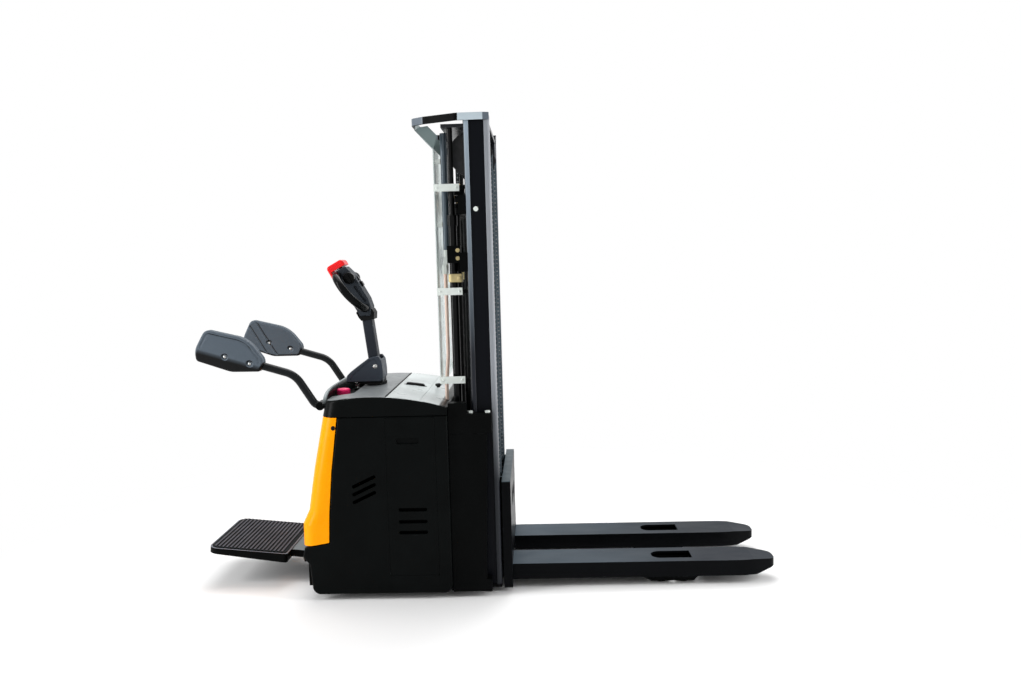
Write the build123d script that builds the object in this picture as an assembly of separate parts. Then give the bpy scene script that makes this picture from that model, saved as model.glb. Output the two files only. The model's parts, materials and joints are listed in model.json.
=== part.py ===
from build123d import *
import math
import os

# Ride-on pallet stacker with a folding platform. Millimetres; X runs to the fork tips, Z up from the floor.

# Whole machine
FORK_LENGTH = 1158
PLATFORM_REACH = 1382  # from the fork face back to the rear edge of the platform
FORK_SPREAD = 570  # over both forks
FORK_WIDTH = 180
FORK_TOP = 110  # lowered fork height
FORK_DEPTH = 69
BODY_WIDTH = 800
MAST_WIDTH = 680
MAST_HEIGHT = 2055
STAGE_LIFT = 1450  # travel of each mast stage

# Fits
RUN = 0.05  # radial clearance of a turning or sliding fit
SEAT = 0.3  # gap at rest between a moving piece and its seat
SEAM = 2  # visible gap between covers

# Stations along X, each measured from its neighbour
CARRIAGE_THICK = 38
MAST_GAP = 9
MAST_DEPTH = 110
SERVICE_GAP = 97  # mast to the battery wall
WALL = 8
BATTERY_BAY = 210
STEER_GAP = 152  # bulkhead to the steering axis
DECK_TAIL = 240  # steering axis to the rear plate
HINGE_GAP = 70  # rear plate to the platform hinge
ARM_GAP = 150  # steering axis back to the guard arm posts
X_FORK = (PLATFORM_REACH - FORK_LENGTH) / 2
X_MAST_FRONT = X_FORK - CARRIAGE_THICK - MAST_GAP
X_MAST_REAR = X_MAST_FRONT - MAST_DEPTH
X_MAST = (X_MAST_FRONT + X_MAST_REAR) / 2
X_WALL = X_MAST_REAR - SERVICE_GAP
X_BULKHEAD = X_WALL - WALL - BATTERY_BAY
X_STEER = X_BULKHEAD - WALL - STEER_GAP
X_REAR = X_STEER - DECK_TAIL
X_HINGE = X_REAR - HINGE_GAP
X_ARM = X_STEER - ARM_GAP

# Frame
BASE_BOTTOM = 27
BASE_TOP = 40
HALF = BODY_WIDTH / 2
FRAME_HALF = HALF - 28
FRAME_SKIN = 10
TOWER_TOP = 716
TOWER_BLOCK = 85  # bolted block on top of each tower
TOWER_HOOD = 46  # closing box behind each block, above it
DECK_BOTTOM = 240
DECK_TOP = 252
FRAME_TOP = 800  # covers begin here
COVER_RISE = 84
COVER_TOP = FRAME_TOP + COVER_RISE

# Support legs and load wheels
FORK_SKIN = 10
LEG_Y = (FORK_SPREAD - FORK_WIDTH) / 2
LEG_HALF = 60
LEG_BAR = 12
LEG_TOP = FORK_TOP - FORK_SKIN - 14
LOAD_RADIUS = 40
LOAD_SETBACK = 452  # middle of the wheel pair, back from the fork tip
LOAD_STATION = FORK_LENGTH - LOAD_SETBACK
FORK_NOSE = 253  # solid length at the tip
FORK_TAPER = 120
FORK_RAMP = 85  # underside rises to the tip over this length
LOAD_PITCH = 100
LOAD_WIDTH = 2 * (LEG_HALF - LEG_BAR) - 6
AXLE_RADIUS = 10

# Mast
OUTER_Y = MAST_WIDTH / 2
OUTER_WIDTH = 50
OUTER_WEB = 15
OUTER_GROOVE = 5  # depth of the groove along the outside of the web
OUTER_STRIP = 23  # width of the raised strip on each side of the groove
OUTER_FLANGE = 14
OUTER_ROUND = 12  # outer corners of the rolled channel
OUTER_TOP = MAST_HEIGHT - 10
INNER_Y = OUTER_Y - OUTER_WIDTH - 4
INNER_WIDTH = 48
INNER_DEPTH = 104
INNER_FLANGE = 12
INNER_WEB = 10
INNER_GROOVE = 14  # depth of the groove that faces the outer channel
INNER_FOOT = 95
BEAM_BOTTOM = MAST_HEIGHT - 50
BEAM_TOP = MAST_HEIGHT - 35
STUB_RADIUS = 12
OUTER_ROLLER_Z = MAST_HEIGHT - 95
INNER_ROLLER_Z = INNER_FOOT + 55
OUTER_ROLLER_RADIUS = INNER_DEPTH / 2 - INNER_FLANGE - 1
INNER_ROLLER_RADIUS = MAST_DEPTH / 2 - OUTER_FLANGE - 1
RING_HEIGHT = 30
RING_BAR = 10
BAR_THICK = 15
BAR_GAP = 15  # from the outer mast back to its cross bars
BAR_HEIGHT = 80
LOW_BAR = 640  # underside of the lowest cross bar
MIDDLE_BAR_DROP = 655  # undersides of the other two, below the mast top
HIGH_BAR_DROP = 415
BAR_BOTTOMS = (LOW_BAR, MAST_HEIGHT - MIDDLE_BAR_DROP, MAST_HEIGHT - HIGH_BAR_DROP)
RING_REACH = 224  # outer mast back to the rear of the top ring
RING_CORNER = (48, 42)  # cut across each rear corner of the ring, along X and Y
RING_BEVEL = (26, 8)  # bevel at each front end of the ring
X_BAR = X_MAST_REAR - BAR_GAP - BAR_THICK  # rear face of the cross bars

# Lift cylinders and chains
CYLINDER_RADIUS = 18
CYLINDER_TOP = BAR_BOTTOMS[2]
ROD_RADIUS = 12
X_CYLINDER = X_BAR - 15 - CYLINDER_RADIUS
CYLINDER_Y = INNER_Y - 24
CHAIN_PITCH = 19
CHAIN_HEIGHT = 18
CHAIN_WIDTH = 14
CHAIN_Y = 163
X_CHAIN_REAR = X_BAR - 41
X_CHAIN_FRONT = X_FORK - CARRIAGE_THICK - 14
PULLEY_RADIUS = (X_CHAIN_FRONT - X_CHAIN_REAR) / 2
X_PULLEY = (X_CHAIN_FRONT + X_CHAIN_REAR) / 2
PULLEY_Z = BEAM_BOTTOM - PULLEY_RADIUS - CHAIN_HEIGHT / 2 - 4
PULLEY_WIDTH = 26
PIN_RADIUS = 10
ANCHOR_TOP = PULLEY_Z - 94
ANCHOR_RADIUS = 7
ANCHOR_SHELF = BAR_BOTTOMS[2] + 91  # underside of the shelf that holds the anchor
SHELF_THICK = 34
ANCHOR_TAIL = 64  # thread below the shelf
ANCHOR_NUT = 12

# Guard sheet behind the mast
GUARD_SHEET = 4
GUARD_HALF = 252
GUARD_BOTTOM = COVER_TOP + 21
GUARD_BEND = MAST_HEIGHT - 131  # above here the sheet leans back to the top ring
GUARD_LIP = MAST_HEIGHT - 45
LIP_HALF = 205
X_GUARD = X_MAST_REAR - 134  # front face of the sheet
X_LIP = X_MAST_REAR - RING_REACH + RING_BAR / 2 + GUARD_SHEET
BRACKET_HEIGHT = 31
TONGUE_REACH = 25  # narrow end of the strap at the mast
TONGUE_HALF = 8
BRACKET_HEIGHTS = (GUARD_BOTTOM + 30, BAR_BOTTOMS[1] - 84, BAR_BOTTOMS[2] + 114)
BRACKET_Y = OUTER_Y - OUTER_WIDTH + 10

# Carriage
CARRIAGE_HALF = 325
CARRIAGE_BOTTOM = 18
CARRIAGE_TOP = 491
CARRIAGE_ROUND = 10
SIDE_INNER = 208
SIDE_OUTER = 222
SIDE_TOP = 486
CARRIAGE_ROLLERS = (INNER_FOOT + 55, SIDE_TOP - 50)
CARRIAGE_ROLLER_Y = (INNER_Y - INNER_WIDTH + 2, INNER_Y - INNER_GROOVE - INNER_WEB - 2)
LUG_BOTTOM = 330
LUG_TOP = 360
WINDOW_HALF = 120
WINDOW = (322, 387)  # lower and upper edge of the window in the carriage plate

# Drive unit and casters
DRIVE_RADIUS = 115
DRIVE_HALF = 37.5
GEARBOX_NEAR = DRIVE_HALF + 4.5
GEARBOX_FAR = 95
SHAFT_RADIUS = 20
FLANGE_RADIUS = 145
DECK_HOLE = 125
MOTOR_TOP = 490
COLUMN_RADIUS = 24
CASTER_RADIUS = 62
CASTER_HALF = 26
CASTER_TRAIL = 35
CASTER_INSET = 145
CASTER_Y = HALF - CASTER_INSET
CASTER_TOP = 190  # underside of the caster block

# Covers
SKIN = 4
TOP_SKIN = 6
X_COVER_FRONT = X_WALL - SEAM
X_COVER_REAR = X_ARM - 15
X_LID_FRONT = X_WALL - 116
X_LID_REAR = X_STEER + 120
LID_HALF = HALF - 15
LID_LEDGE = 10
LID_DEPTH = 14
DOOR_FRONT = X_WALL - 56
DOOR_REAR = X_WALL - 268
DOOR_BOTTOM = 107
DOOR_TOP = FRAME_TOP - 8
DOOR_THICK = 12
CORNER = 70  # rear corners of the yellow cover
REAR_FOOT = 235  # heights at which the yellow cover changes slope
REAR_BELLY = 331
REAR_WAIST = 388
REAR_SHOULDER = 567
FOOT_RISE = 23  # how much its lower edge rises towards the front
FOOT_REACH = 123  # how far it stands behind the arm posts at those heights, and at its top
BELLY_REACH = 122
WAIST_REACH = 94
SHOULDER_REACH = 63
TOP_REACH = 15
FOOT_WRAP = -1  # how far its sides reach ahead of the arm posts
BELLY_WRAP = 4
WAIST_WRAP = 7
SHOULDER_WRAP = 24
TOP_WRAP = 56
CONSOLE_HALF = 255  # recess behind the tiller
CONSOLE_DEPTH = 36
REAR_FALL = 18  # drop of the crowned top at the rear and at the front
FRONT_FALL = 52
COVER_ROUND = 14
X_CONSOLE = (X_COVER_REAR + 18, X_STEER - 46)
X_STOP = X_ARM + 36
STOP_Y = -150
STOP_RADIUS = 30
STOP_HEIGHT = 25
STOP_COLLAR = 18
STOP_TRAVEL = 6
STOP_STEM = 8
KEY_STEM = 5
KEY_COLLAR = 8

# Hydraulic hose, in one plane from the pump to the mast
HOSE_Y = -205
HOSE_Z = FRAME_TOP - 55
HOSE_RADIUS = 8
HOSE_BEND = 45
RISER_BEND = 300
HOSE_JOINT = BAR_BOTTOMS[1] - 10  # where the hose meets the pipe
PIPE_RADIUS = 15
NUT_RADIUS = 14
X_HOSE = X_WALL - 19
X_RISER = X_HOSE + 11  # the hose leans forward above the cover
X_PIPE = X_HOSE + 20
TANK_TOP = 520
TANK_DEPTH = 90
PUMP_REACH = 215  # bulkhead back to the pump motor
PUMP_RADIUS = 55
PUMP_TOP = 450
PUMP_HEIGHT = 70
PUMP_RISE = 40
X_TANK = X_BULKHEAD - WALL - 42

# Tiller
TILLER_X = X_STEER + 7
TILLER_Z = COVER_TOP + 89
TILLER_LEAN = 6.7
HEAD_LEAN = 29
ARM_TUBE_LENGTH = 214
ARM_HALF = 34
CHEEK_HALF = 62
HEAD_HALF = 48
HEAD_TOP = 262  # sizes along and out from the head's own foot
FACE_N = 58
ROCKER = (158, 52)
HORN = 188
THROTTLE = (204, 33)
KNOB_RADIUS = 27
GRIP_RADIUS = 18

# Platform
PLATFORM_HALF = 225
PLATFORM_TILT = 5.8
HINGE_Z = 120
HINGE_RADIUS = 12
TRAY_BOTTOM = -19
TRAY_RISE = 16  # how much its underside rises to the rear
TRAY_TOP = 22
MAT_TOP = 25
RIB_TOP = 28
RIB_PITCH = 18
TRAY_FRONT = 80
LUG_Y = 150
TILT = math.radians(PLATFORM_TILT)
TRAY_HEEL = TRAY_BOTTOM + TRAY_RISE  # underside at the rear edge
TRAY_REAR = (PLATFORM_REACH - (X_FORK - X_HINGE) + TRAY_HEEL * math.sin(TILT)) / math.cos(TILT)

# Guard arms
ARM_Z = COVER_TOP - 46
ARM_INSET = 95
ARM_Y = HALF - ARM_INSET
ARM_STANDOFF = 15  # pivot behind the top cover
X_PIVOT = X_COVER_REAR - ARM_STANDOFF
TUBE_RADIUS = 17
HUB_RADIUS = 19
ARM_PIN = 11
POST_Y = (ARM_Y - 34, ARM_Y - 22)
ARM_ELBOW = (-22, 0)  # corners of the tube's path and its end, from the pivot
ARM_BEND = (-106, 135)
ARM_END = (-414, 229)
ELBOW_ROUND = 38
BEND_ROUND = 110
PAD_NEAR = 230  # pivot to the front and rear of the pad
PAD_FAR = 529
PAD_ROUNDS = (16, 100, 30, 140, 40, 16, 100)  # corners of the pad, from its lower rear one
PAD_OUT = 34  # tube axis to the crown outside, and to the face towards the rider
PAD_IN = 20
PAD_FALL = 26  # drop of the crown at the upper edge
PAD_RIM = 7
PAD_CHANNEL = 5


def block(x0, x1, y0, y1, z0, z1):
    """Box between two corners."""
    return Pos((x0 + x1) / 2, (y0 + y1) / 2, (z0 + z1) / 2) * Box(abs(x1 - x0), abs(y1 - y0), abs(z1 - z0))


def post(x, y, radius, z0, z1):
    """Upright cylinder."""
    return Pos(x, y, (z0 + z1) / 2) * Cylinder(radius, z1 - z0)


def drum(x, z, radius, y0, y1):
    """Cylinder that lies along Y."""
    return Pos(x, (y0 + y1) / 2, z) * Rot(90, 0, 0) * Cylinder(radius, abs(y1 - y0))


def side_slab(points, y0, y1):
    """Outline in X and Z, given thickness along Y."""
    face = make_face(Polyline(*[(x, y1, z) for x, z in points], close=True))
    return extrude(face, amount=y1 - y0, dir=(0, -1, 0))


def plan_slab(points, z0, z1):
    """Outline in X and Y, given height."""
    face = make_face(Polyline(*[(x, y, z0) for x, y in points], close=True))
    return extrude(face, amount=z1 - z0, dir=(0, 0, 1))


def other(shape):
    """The same piece on the other side of the machine."""
    return mirror(shape, about=Plane.XZ)


def pair(shape):
    """A piece and its mirror image, as two solids."""
    return Compound([shape, other(shape)])


def both(shape):
    """A feature on both sides, to add to or cut from one solid."""
    return shape + other(shape)


def rim_edges(shape):
    """Edges round the two outermost faces along Y."""
    faces = shape.faces().sort_by(Axis.Y)
    return faces[0].edges() + faces[-1].edges()


def tube_path(points, y, bend):
    """Path in the X-Z plane with rounded bends."""
    return Pos(0, y, 0) * (Plane.XZ * FilletPolyline(*points, radius=bend))


def swept(path, radius, wall=0):
    """Round bar along a path, or a tube if a wall is given."""
    start = Plane(origin=path @ 0, z_dir=path % 0)
    ring = Circle(radius) - Circle(radius - wall) if wall else Circle(radius)
    return sweep(start * ring, path=path)


# Frame and legs


def chassis_frame():
    inner = FRAME_HALF - FRAME_SKIN
    tower_y = (OUTER_Y, FRAME_HALF + 13)
    block_top = TOWER_TOP + TOWER_BLOCK
    frame = block(X_WALL, X_MAST_FRONT, -OUTER_Y, OUTER_Y, BASE_BOTTOM, BASE_TOP)
    tower = side_slab(
        [(X_WALL, BASE_BOTTOM), (X_MAST_FRONT - 40, BASE_BOTTOM), (X_MAST_FRONT - 40, 79),
         (X_MAST_FRONT - 62, 79), (X_MAST_FRONT - 44, TOWER_TOP), (X_MAST_FRONT - 24, TOWER_TOP),
         (X_MAST_FRONT - 24, block_top), (X_MAST_REAR - 18, block_top),
         (X_MAST_REAR - 18, block_top + TOWER_HOOD), (X_WALL, block_top + TOWER_HOOD)],
        *tower_y,
    )
    tower -= block(X_WALL, X_MAST_FRONT, tower_y[1] - SEAM, tower_y[1], TOWER_TOP - SEAM, TOWER_TOP)
    frame += both(tower)
    frame += block(X_WALL - WALL, X_WALL, -FRAME_HALF, FRAME_HALF, BASE_BOTTOM, FRAME_TOP - 40)
    frame += block(X_BULKHEAD, X_WALL - WALL, -inner, inner, 60, 70)
    frame += block(X_BULKHEAD - WALL, X_BULKHEAD, -inner, inner, 60, FRAME_TOP)
    frame += block(X_LID_REAR - 8, X_BULKHEAD, -inner, inner, FRAME_TOP - WALL, FRAME_TOP)
    tail = X_REAR - FRAME_SKIN
    side = [(tail, 60), (X_WALL, 60), (X_WALL, 420), (X_REAR + 40, 420), (X_REAR + 40, 228), (tail, 228)]
    frame += both(side_slab(side, inner, FRAME_HALF))
    frame += block(X_REAR, X_BULKHEAD - WALL, -inner, inner, DECK_BOTTOM, DECK_TOP)
    frame += block(X_REAR - FRAME_SKIN, X_REAR, -inner, inner, 60, DECK_TOP)
    frame += block(X_REAR - 28, X_REAR - FRAME_SKIN, -60, 60, DECK_BOTTOM, DECK_TOP)
    caster = block(X_STEER - 45, X_STEER + 45, CASTER_Y - 45, CASTER_Y + 45, CASTER_TOP, DECK_BOTTOM)
    caster -= post(X_STEER, CASTER_Y, PIN_RADIUS + RUN, CASTER_TOP, CASTER_TOP + 32)
    frame += both(caster)
    lug = side_slab(
        [(X_REAR - FRAME_SKIN, 92), (X_HINGE - 16, 92), (X_HINGE - 24, HINGE_Z), (X_HINGE - 16, HINGE_Z + 24),
         (X_REAR - FRAME_SKIN, HINGE_Z + 40)],
        LUG_Y, LUG_Y + 12,
    )
    lug -= drum(X_HINGE, HINGE_Z, HINGE_RADIUS + RUN, LUG_Y, LUG_Y + 12)
    frame += both(lug)
    ear = (ARM_Z - HUB_RADIUS, ARM_Z + HUB_RADIUS)
    arm_post = side_slab(
        [(X_ARM - 6, DECK_TOP), (X_ARM + 34, DECK_TOP), (X_ARM + 34, ear[1]), (X_PIVOT, ear[1]),
         (X_PIVOT, ear[0]), (X_ARM - 6, ear[0])],
        *POST_Y,
    )
    arm_post += drum(X_PIVOT, ARM_Z, HUB_RADIUS, *POST_Y)
    arm_post += drum(X_PIVOT, ARM_Z, ARM_PIN, POST_Y[1], ARM_Y + 25)
    arm_post += drum(X_PIVOT, ARM_Z, ARM_PIN + 5, ARM_Y + 21, ARM_Y + 27)
    frame += both(arm_post)
    frame -= post(X_STEER, 0, DECK_HOLE, DECK_BOTTOM, DECK_TOP)
    frame -= block(X_BULKHEAD - WALL, X_BULKHEAD, HOSE_Y - 10, HOSE_Y + 10, HOSE_Z - 10, HOSE_Z + 10)
    return frame


def support_leg():
    wheel_x = X_FORK + LOAD_STATION
    heel = X_CYLINDER + CYLINDER_RADIUS + 10
    side = side_slab(
        [(heel, BASE_TOP), (wheel_x - 152, BASE_TOP), (wheel_x - 95, 12), (wheel_x + 92, 12),
         (wheel_x + 114, 34), (wheel_x + 142, 48), (wheel_x + 142, LEG_TOP - 14), (wheel_x + 126, LEG_TOP),
         (heel, LEG_TOP)],
        LEG_Y - LEG_HALF, LEG_Y + LEG_HALF,
    )
    gap = LEG_HALF - LEG_BAR
    side -= block(heel, wheel_x - 122, LEG_Y - gap, LEG_Y + gap, 0, LEG_TOP - 8)
    side -= block(wheel_x - 110, wheel_x + 120, LEG_Y - gap, LEG_Y + gap, 0, LEG_TOP)
    for offset in (-LOAD_PITCH / 2, LOAD_PITCH / 2):
        side += drum(wheel_x + offset, LOAD_RADIUS, AXLE_RADIUS, LEG_Y - LEG_HALF, LEG_Y + LEG_HALF)
    return side


def load_wheel(offset):
    x = X_FORK + LOAD_STATION + offset
    half = LOAD_WIDTH / 2
    wheel = drum(x, LOAD_RADIUS, LOAD_RADIUS, LEG_Y - half, LEG_Y + half)
    wheel = chamfer(wheel.edges().filter_by(GeomType.CIRCLE), 3)
    return wheel - drum(x, LOAD_RADIUS, AXLE_RADIUS + RUN, LEG_Y - half, LEG_Y + half)


# Mast


def outer_channel():
    y_in = OUTER_Y - OUTER_WIDTH
    channel = block(X_MAST_REAR, X_MAST_FRONT, y_in, OUTER_Y, BASE_TOP, OUTER_TOP)
    x0, x1 = X_MAST_REAR + OUTER_FLANGE, X_MAST_FRONT - OUTER_FLANGE
    channel -= block(x0, x1, y_in, OUTER_Y - OUTER_WEB, 0, MAST_HEIGHT)
    corners = channel.edges().filter_by(Axis.Z).group_by(Axis.Y)[-1]
    channel = fillet(corners, OUTER_ROUND)
    x0, x1 = X_MAST_REAR + OUTER_STRIP, X_MAST_FRONT - OUTER_STRIP
    channel -= block(x0, x1, OUTER_Y - OUTER_GROOVE, OUTER_Y + OUTER_GROOVE, 0, MAST_HEIGHT)
    lips = channel.edges().filter_by(Axis.Z).group_by(Axis.Y)[-1]
    channel = fillet(lips.filter_by_position(Axis.X, x0 - 1, x1 + 1), OUTER_GROOVE - 1)
    stub_end = INNER_Y - INNER_GROOVE + 2
    return channel + drum(X_MAST, OUTER_ROLLER_Z, STUB_RADIUS, stub_end, OUTER_Y - OUTER_WEB)


def top_ring():
    """Flat bar that runs round behind the mast and ties its two tops."""
    y = OUTER_Y + RING_BAR / 2
    rear, corner = X_MAST_REAR - RING_REACH, -LIP_HALF - 20
    points = [(X_MAST_FRONT, -y), (X_MAST_REAR - 25, -y), (rear + RING_CORNER[0], corner - RING_CORNER[1]),
              (rear, corner)]
    points += [(px, -py) for px, py in reversed(points)]
    line = FilletPolyline(*points, radius=40)
    start = Plane(origin=line @ 0, z_dir=line % 0, x_dir=(0, 0, 1))
    bar = sweep(start * Rectangle(RING_HEIGHT, RING_BAR), path=line)
    front, outside = X_MAST_FRONT, OUTER_Y + RING_BAR
    bevel = plan_slab(
        [(front - RING_BEVEL[0], outside), (front, outside - RING_BEVEL[1]), (front, outside)],
        MAST_HEIGHT - RING_HEIGHT, MAST_HEIGHT,
    )
    return Pos(0, 0, MAST_HEIGHT - RING_HEIGHT / 2) * bar - both(bevel)


def cross_bar(bottom):
    bar = block(X_BAR, X_BAR + BAR_THICK, -OUTER_Y, OUTER_Y, bottom, bottom + BAR_HEIGHT)
    foot = block(X_BAR + BAR_THICK, X_MAST_REAR, OUTER_Y - 40, OUTER_Y, bottom, bottom + BAR_HEIGHT)
    return bar + both(foot)


def mast_cross_members():
    low, middle, high = [cross_bar(bottom) for bottom in BAR_BOTTOMS]
    clamp_z = BAR_BOTTOMS[1] + 36
    clamp_rear = X_CYLINDER - CYLINDER_RADIUS - 6
    clamp = block(clamp_rear, X_BAR, CYLINDER_Y - 30, CYLINDER_Y + 30, clamp_z, clamp_z + 74)
    clamp -= post(X_CYLINDER, CYLINDER_Y, CYLINDER_RADIUS + SEAT, clamp_z, clamp_z + 74)
    for z in (clamp_z + 20, clamp_z + 54):
        clamp += drum(X_BAR - 11, z, 9, CYLINDER_Y + 30, CYLINDER_Y + 35)
    y0, y1 = CHAIN_Y - 15, CHAIN_Y + 15
    shelf_top = ANCHOR_SHELF + SHELF_THICK
    shelf = block(X_CHAIN_REAR - 18, X_BAR + BAR_THICK, y0, y1, ANCHOR_SHELF, shelf_top)
    shelf += block(X_BAR, X_BAR + BAR_THICK, y0, y1, BAR_BOTTOMS[2], ANCHOR_SHELF)
    shelf -= post(X_CHAIN_REAR, CHAIN_Y, ANCHOR_RADIUS + RUN, ANCHOR_SHELF, shelf_top)
    return Compound([top_ring(), low, middle + both(clamp), high + both(shelf)])


def inner_channel():
    x0, x1 = X_MAST - INNER_DEPTH / 2, X_MAST + INNER_DEPTH / 2
    y_in = INNER_Y - INNER_WIDTH
    web_out = INNER_Y - INNER_GROOVE
    rail = block(x0, x1, y_in, INNER_Y, INNER_FOOT, BEAM_BOTTOM)
    rail -= block(x0 + INNER_FLANGE, x1 - INNER_FLANGE, web_out, INNER_Y, 0, MAST_HEIGHT)
    rail -= block(x0 + INNER_FLANGE, x1 - INNER_FLANGE, y_in, web_out - INNER_WEB, 0, MAST_HEIGHT)
    return rail + drum(X_MAST, INNER_ROLLER_Z, STUB_RADIUS, web_out, OUTER_Y - OUTER_WEB - 4)


def inner_mast_beams():
    x0 = X_MAST - INNER_DEPTH / 2
    top = block(X_CYLINDER - 35, X_MAST + INNER_DEPTH / 2, -INNER_Y, INNER_Y, BEAM_BOTTOM, BEAM_TOP)
    half = PULLEY_WIDTH / 2
    for side in (-1, 1):
        y = CHAIN_Y + side * (half + 3 + 3.5)
        hanger = block(X_PULLEY - 26, X_PULLEY + 26, y - 3.5, y + 3.5, PULLEY_Z - 25, BEAM_BOTTOM)
        top += both(hanger)
    top += both(drum(X_PULLEY, PULLEY_Z, PIN_RADIUS, CHAIN_Y - half - 10, CHAIN_Y + half + 10))
    low = block(x0 - INNER_FLANGE, x0, -INNER_Y, INNER_Y, INNER_FOOT + 15, INNER_FOOT + 95)
    return Compound([top, low])


def spool(x, z, radius, y0, y1, bore):
    """Plain roller on a stub."""
    roller = drum(x, z, radius, y0, y1)
    roller = chamfer(roller.edges().filter_by(GeomType.CIRCLE), 1)
    return roller - drum(x, z, bore + RUN, y0, y1)


def outer_mast_roller():
    y0 = INNER_Y - INNER_GROOVE + 2
    return spool(X_MAST, OUTER_ROLLER_Z, OUTER_ROLLER_RADIUS, y0, INNER_Y - 1, STUB_RADIUS)


def inner_mast_roller():
    y0 = OUTER_Y - OUTER_WIDTH + 4
    return spool(X_MAST, INNER_ROLLER_Z, INNER_ROLLER_RADIUS, y0, OUTER_Y - OUTER_WEB - 4, STUB_RADIUS)


def chain_pulley():
    half = PULLEY_WIDTH / 2
    floor = PULLEY_RADIUS - CHAIN_HEIGHT / 2 - SEAT
    wheel = drum(X_PULLEY, PULLEY_Z, floor, CHAIN_Y - half, CHAIN_Y + half)
    for side in (-1, 1):
        rim = sorted((CHAIN_Y + side * half, CHAIN_Y + side * (CHAIN_WIDTH / 2 + 1)))
        wheel += drum(X_PULLEY, PULLEY_Z, PULLEY_RADIUS + 4, *rim)
    return wheel - drum(X_PULLEY, PULLEY_Z, PIN_RADIUS + RUN, CHAIN_Y - half, CHAIN_Y + half)


def chain_run(x, z0, z1):
    """Straight chain with a waist between links."""
    links = max(2, round((z1 - z0) / CHAIN_PITCH))
    step = (z1 - z0) / links
    full, waist = CHAIN_HEIGHT / 2, CHAIN_HEIGHT / 2 - 3
    edge = [(x + waist, z0)]
    for i in range(links):
        z = z0 + i * step
        edge += [(x + full, z + 0.3 * step), (x + full, z + 0.7 * step), (x + waist, z + step)]
    edge += [(2 * x - px, pz) for px, pz in reversed(edge)]
    return side_slab(edge, CHAIN_Y - CHAIN_WIDTH / 2, CHAIN_Y + CHAIN_WIDTH / 2)


def chain_rear_run():
    """From the anchor up, then over the pulley."""
    half = CHAIN_WIDTH / 2
    wrap = drum(X_PULLEY, PULLEY_Z, PULLEY_RADIUS + CHAIN_HEIGHT / 2, CHAIN_Y - half, CHAIN_Y + half)
    wrap -= drum(X_PULLEY, PULLEY_Z, PULLEY_RADIUS - CHAIN_HEIGHT / 2, CHAIN_Y - half, CHAIN_Y + half)
    reach = 2 * PULLEY_RADIUS
    wrap -= block(X_PULLEY - reach, X_PULLEY + reach, 0, 2 * CHAIN_Y, PULLEY_Z - reach, PULLEY_Z)
    return chain_run(X_CHAIN_REAR, ANCHOR_TOP, PULLEY_Z) + wrap


def chain_anchor():
    """Threaded brass end with its two nuts below the shelf."""
    rod = post(X_CHAIN_REAR, CHAIN_Y, ANCHOR_RADIUS, ANCHOR_SHELF - ANCHOR_TAIL, ANCHOR_TOP)
    for turn, z in ((0, ANCHOR_SHELF - ANCHOR_NUT), (15, ANCHOR_SHELF - 2 * ANCHOR_NUT)):
        nut = Pos(X_CHAIN_REAR, CHAIN_Y, z) * Rot(0, 0, turn) * RegularPolygon(12, 6)
        rod += extrude(nut, amount=ANCHOR_NUT)
    head = block(X_CHAIN_REAR - 9, X_CHAIN_REAR + 9, CHAIN_Y - 10, CHAIN_Y + 10, ANCHOR_TOP - 40, ANCHOR_TOP)
    return rod + head


def lift_cylinder():
    barrel = post(X_CYLINDER, CYLINDER_Y, CYLINDER_RADIUS, BASE_TOP, CYLINDER_TOP)
    barrel += post(X_CYLINDER, CYLINDER_Y, CYLINDER_RADIUS + 4, CYLINDER_TOP - 45, CYLINDER_TOP)
    barrel -= post(X_CYLINDER, CYLINDER_Y, ROD_RADIUS + 3, BASE_TOP + 15, CYLINDER_TOP - 45)
    return barrel - post(X_CYLINDER, CYLINDER_Y, ROD_RADIUS + RUN, CYLINDER_TOP - 45, CYLINDER_TOP)


def piston_rod():
    return post(X_CYLINDER, CYLINDER_Y, ROD_RADIUS, CYLINDER_TOP - STAGE_LIFT - 80, BEAM_BOTTOM)


def mast_guard():
    """Clear sheet, upright and then leaning back to the top ring."""
    sheet = block(X_GUARD - GUARD_SHEET, X_GUARD, -GUARD_HALF, GUARD_HALF, GUARD_BOTTOM, GUARD_BEND)
    sheet = fillet(sheet.edges().filter_by(Axis.X).group_by(Axis.Z)[0], 25)
    front = [(X_GUARD, GUARD_BEND), (X_LIP, GUARD_LIP)]
    rear = [(x - GUARD_SHEET, z) for x, z in reversed(front)]
    lean = side_slab(front + rear, -GUARD_HALF, GUARD_HALF)
    taper = [(GUARD_HALF, GUARD_BEND), (LIP_HALF, GUARD_LIP)]
    taper += [(-y, z) for y, z in reversed(taper)]
    face = make_face(Polyline(*[(X_GUARD, y, z) for y, z in taper], close=True))
    lean &= extrude(face, amount=2 * RING_REACH, both=True, dir=(1, 0, 0))
    lip = block(X_LIP - GUARD_SHEET, X_LIP, -LIP_HALF, LIP_HALF, GUARD_LIP, MAST_HEIGHT - 8)
    return sheet + lean + lip


def guard_bracket(z):
    z0, z1 = z - BRACKET_HEIGHT / 2, z + BRACKET_HEIGHT / 2
    strap = block(X_GUARD, X_MAST_REAR - TONGUE_REACH, BRACKET_Y, BRACKET_Y + SKIN, z0, z1)
    strap += block(X_GUARD, X_GUARD + SKIN, GUARD_HALF - 20, BRACKET_Y, z0, z1)
    z0, z1 = z - TONGUE_HALF, z + TONGUE_HALF
    strap += block(X_MAST_REAR - TONGUE_REACH, X_MAST_REAR, BRACKET_Y, BRACKET_Y + SKIN, z0, z1)
    return strap + block(X_MAST_REAR - SKIN, X_MAST_REAR, BRACKET_Y, OUTER_Y - 10, z0, z1)


def guard_brackets():
    straps = [guard_bracket(z) for z in BRACKET_HEIGHTS]
    return Compound(straps + [other(strap) for strap in straps])


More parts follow.
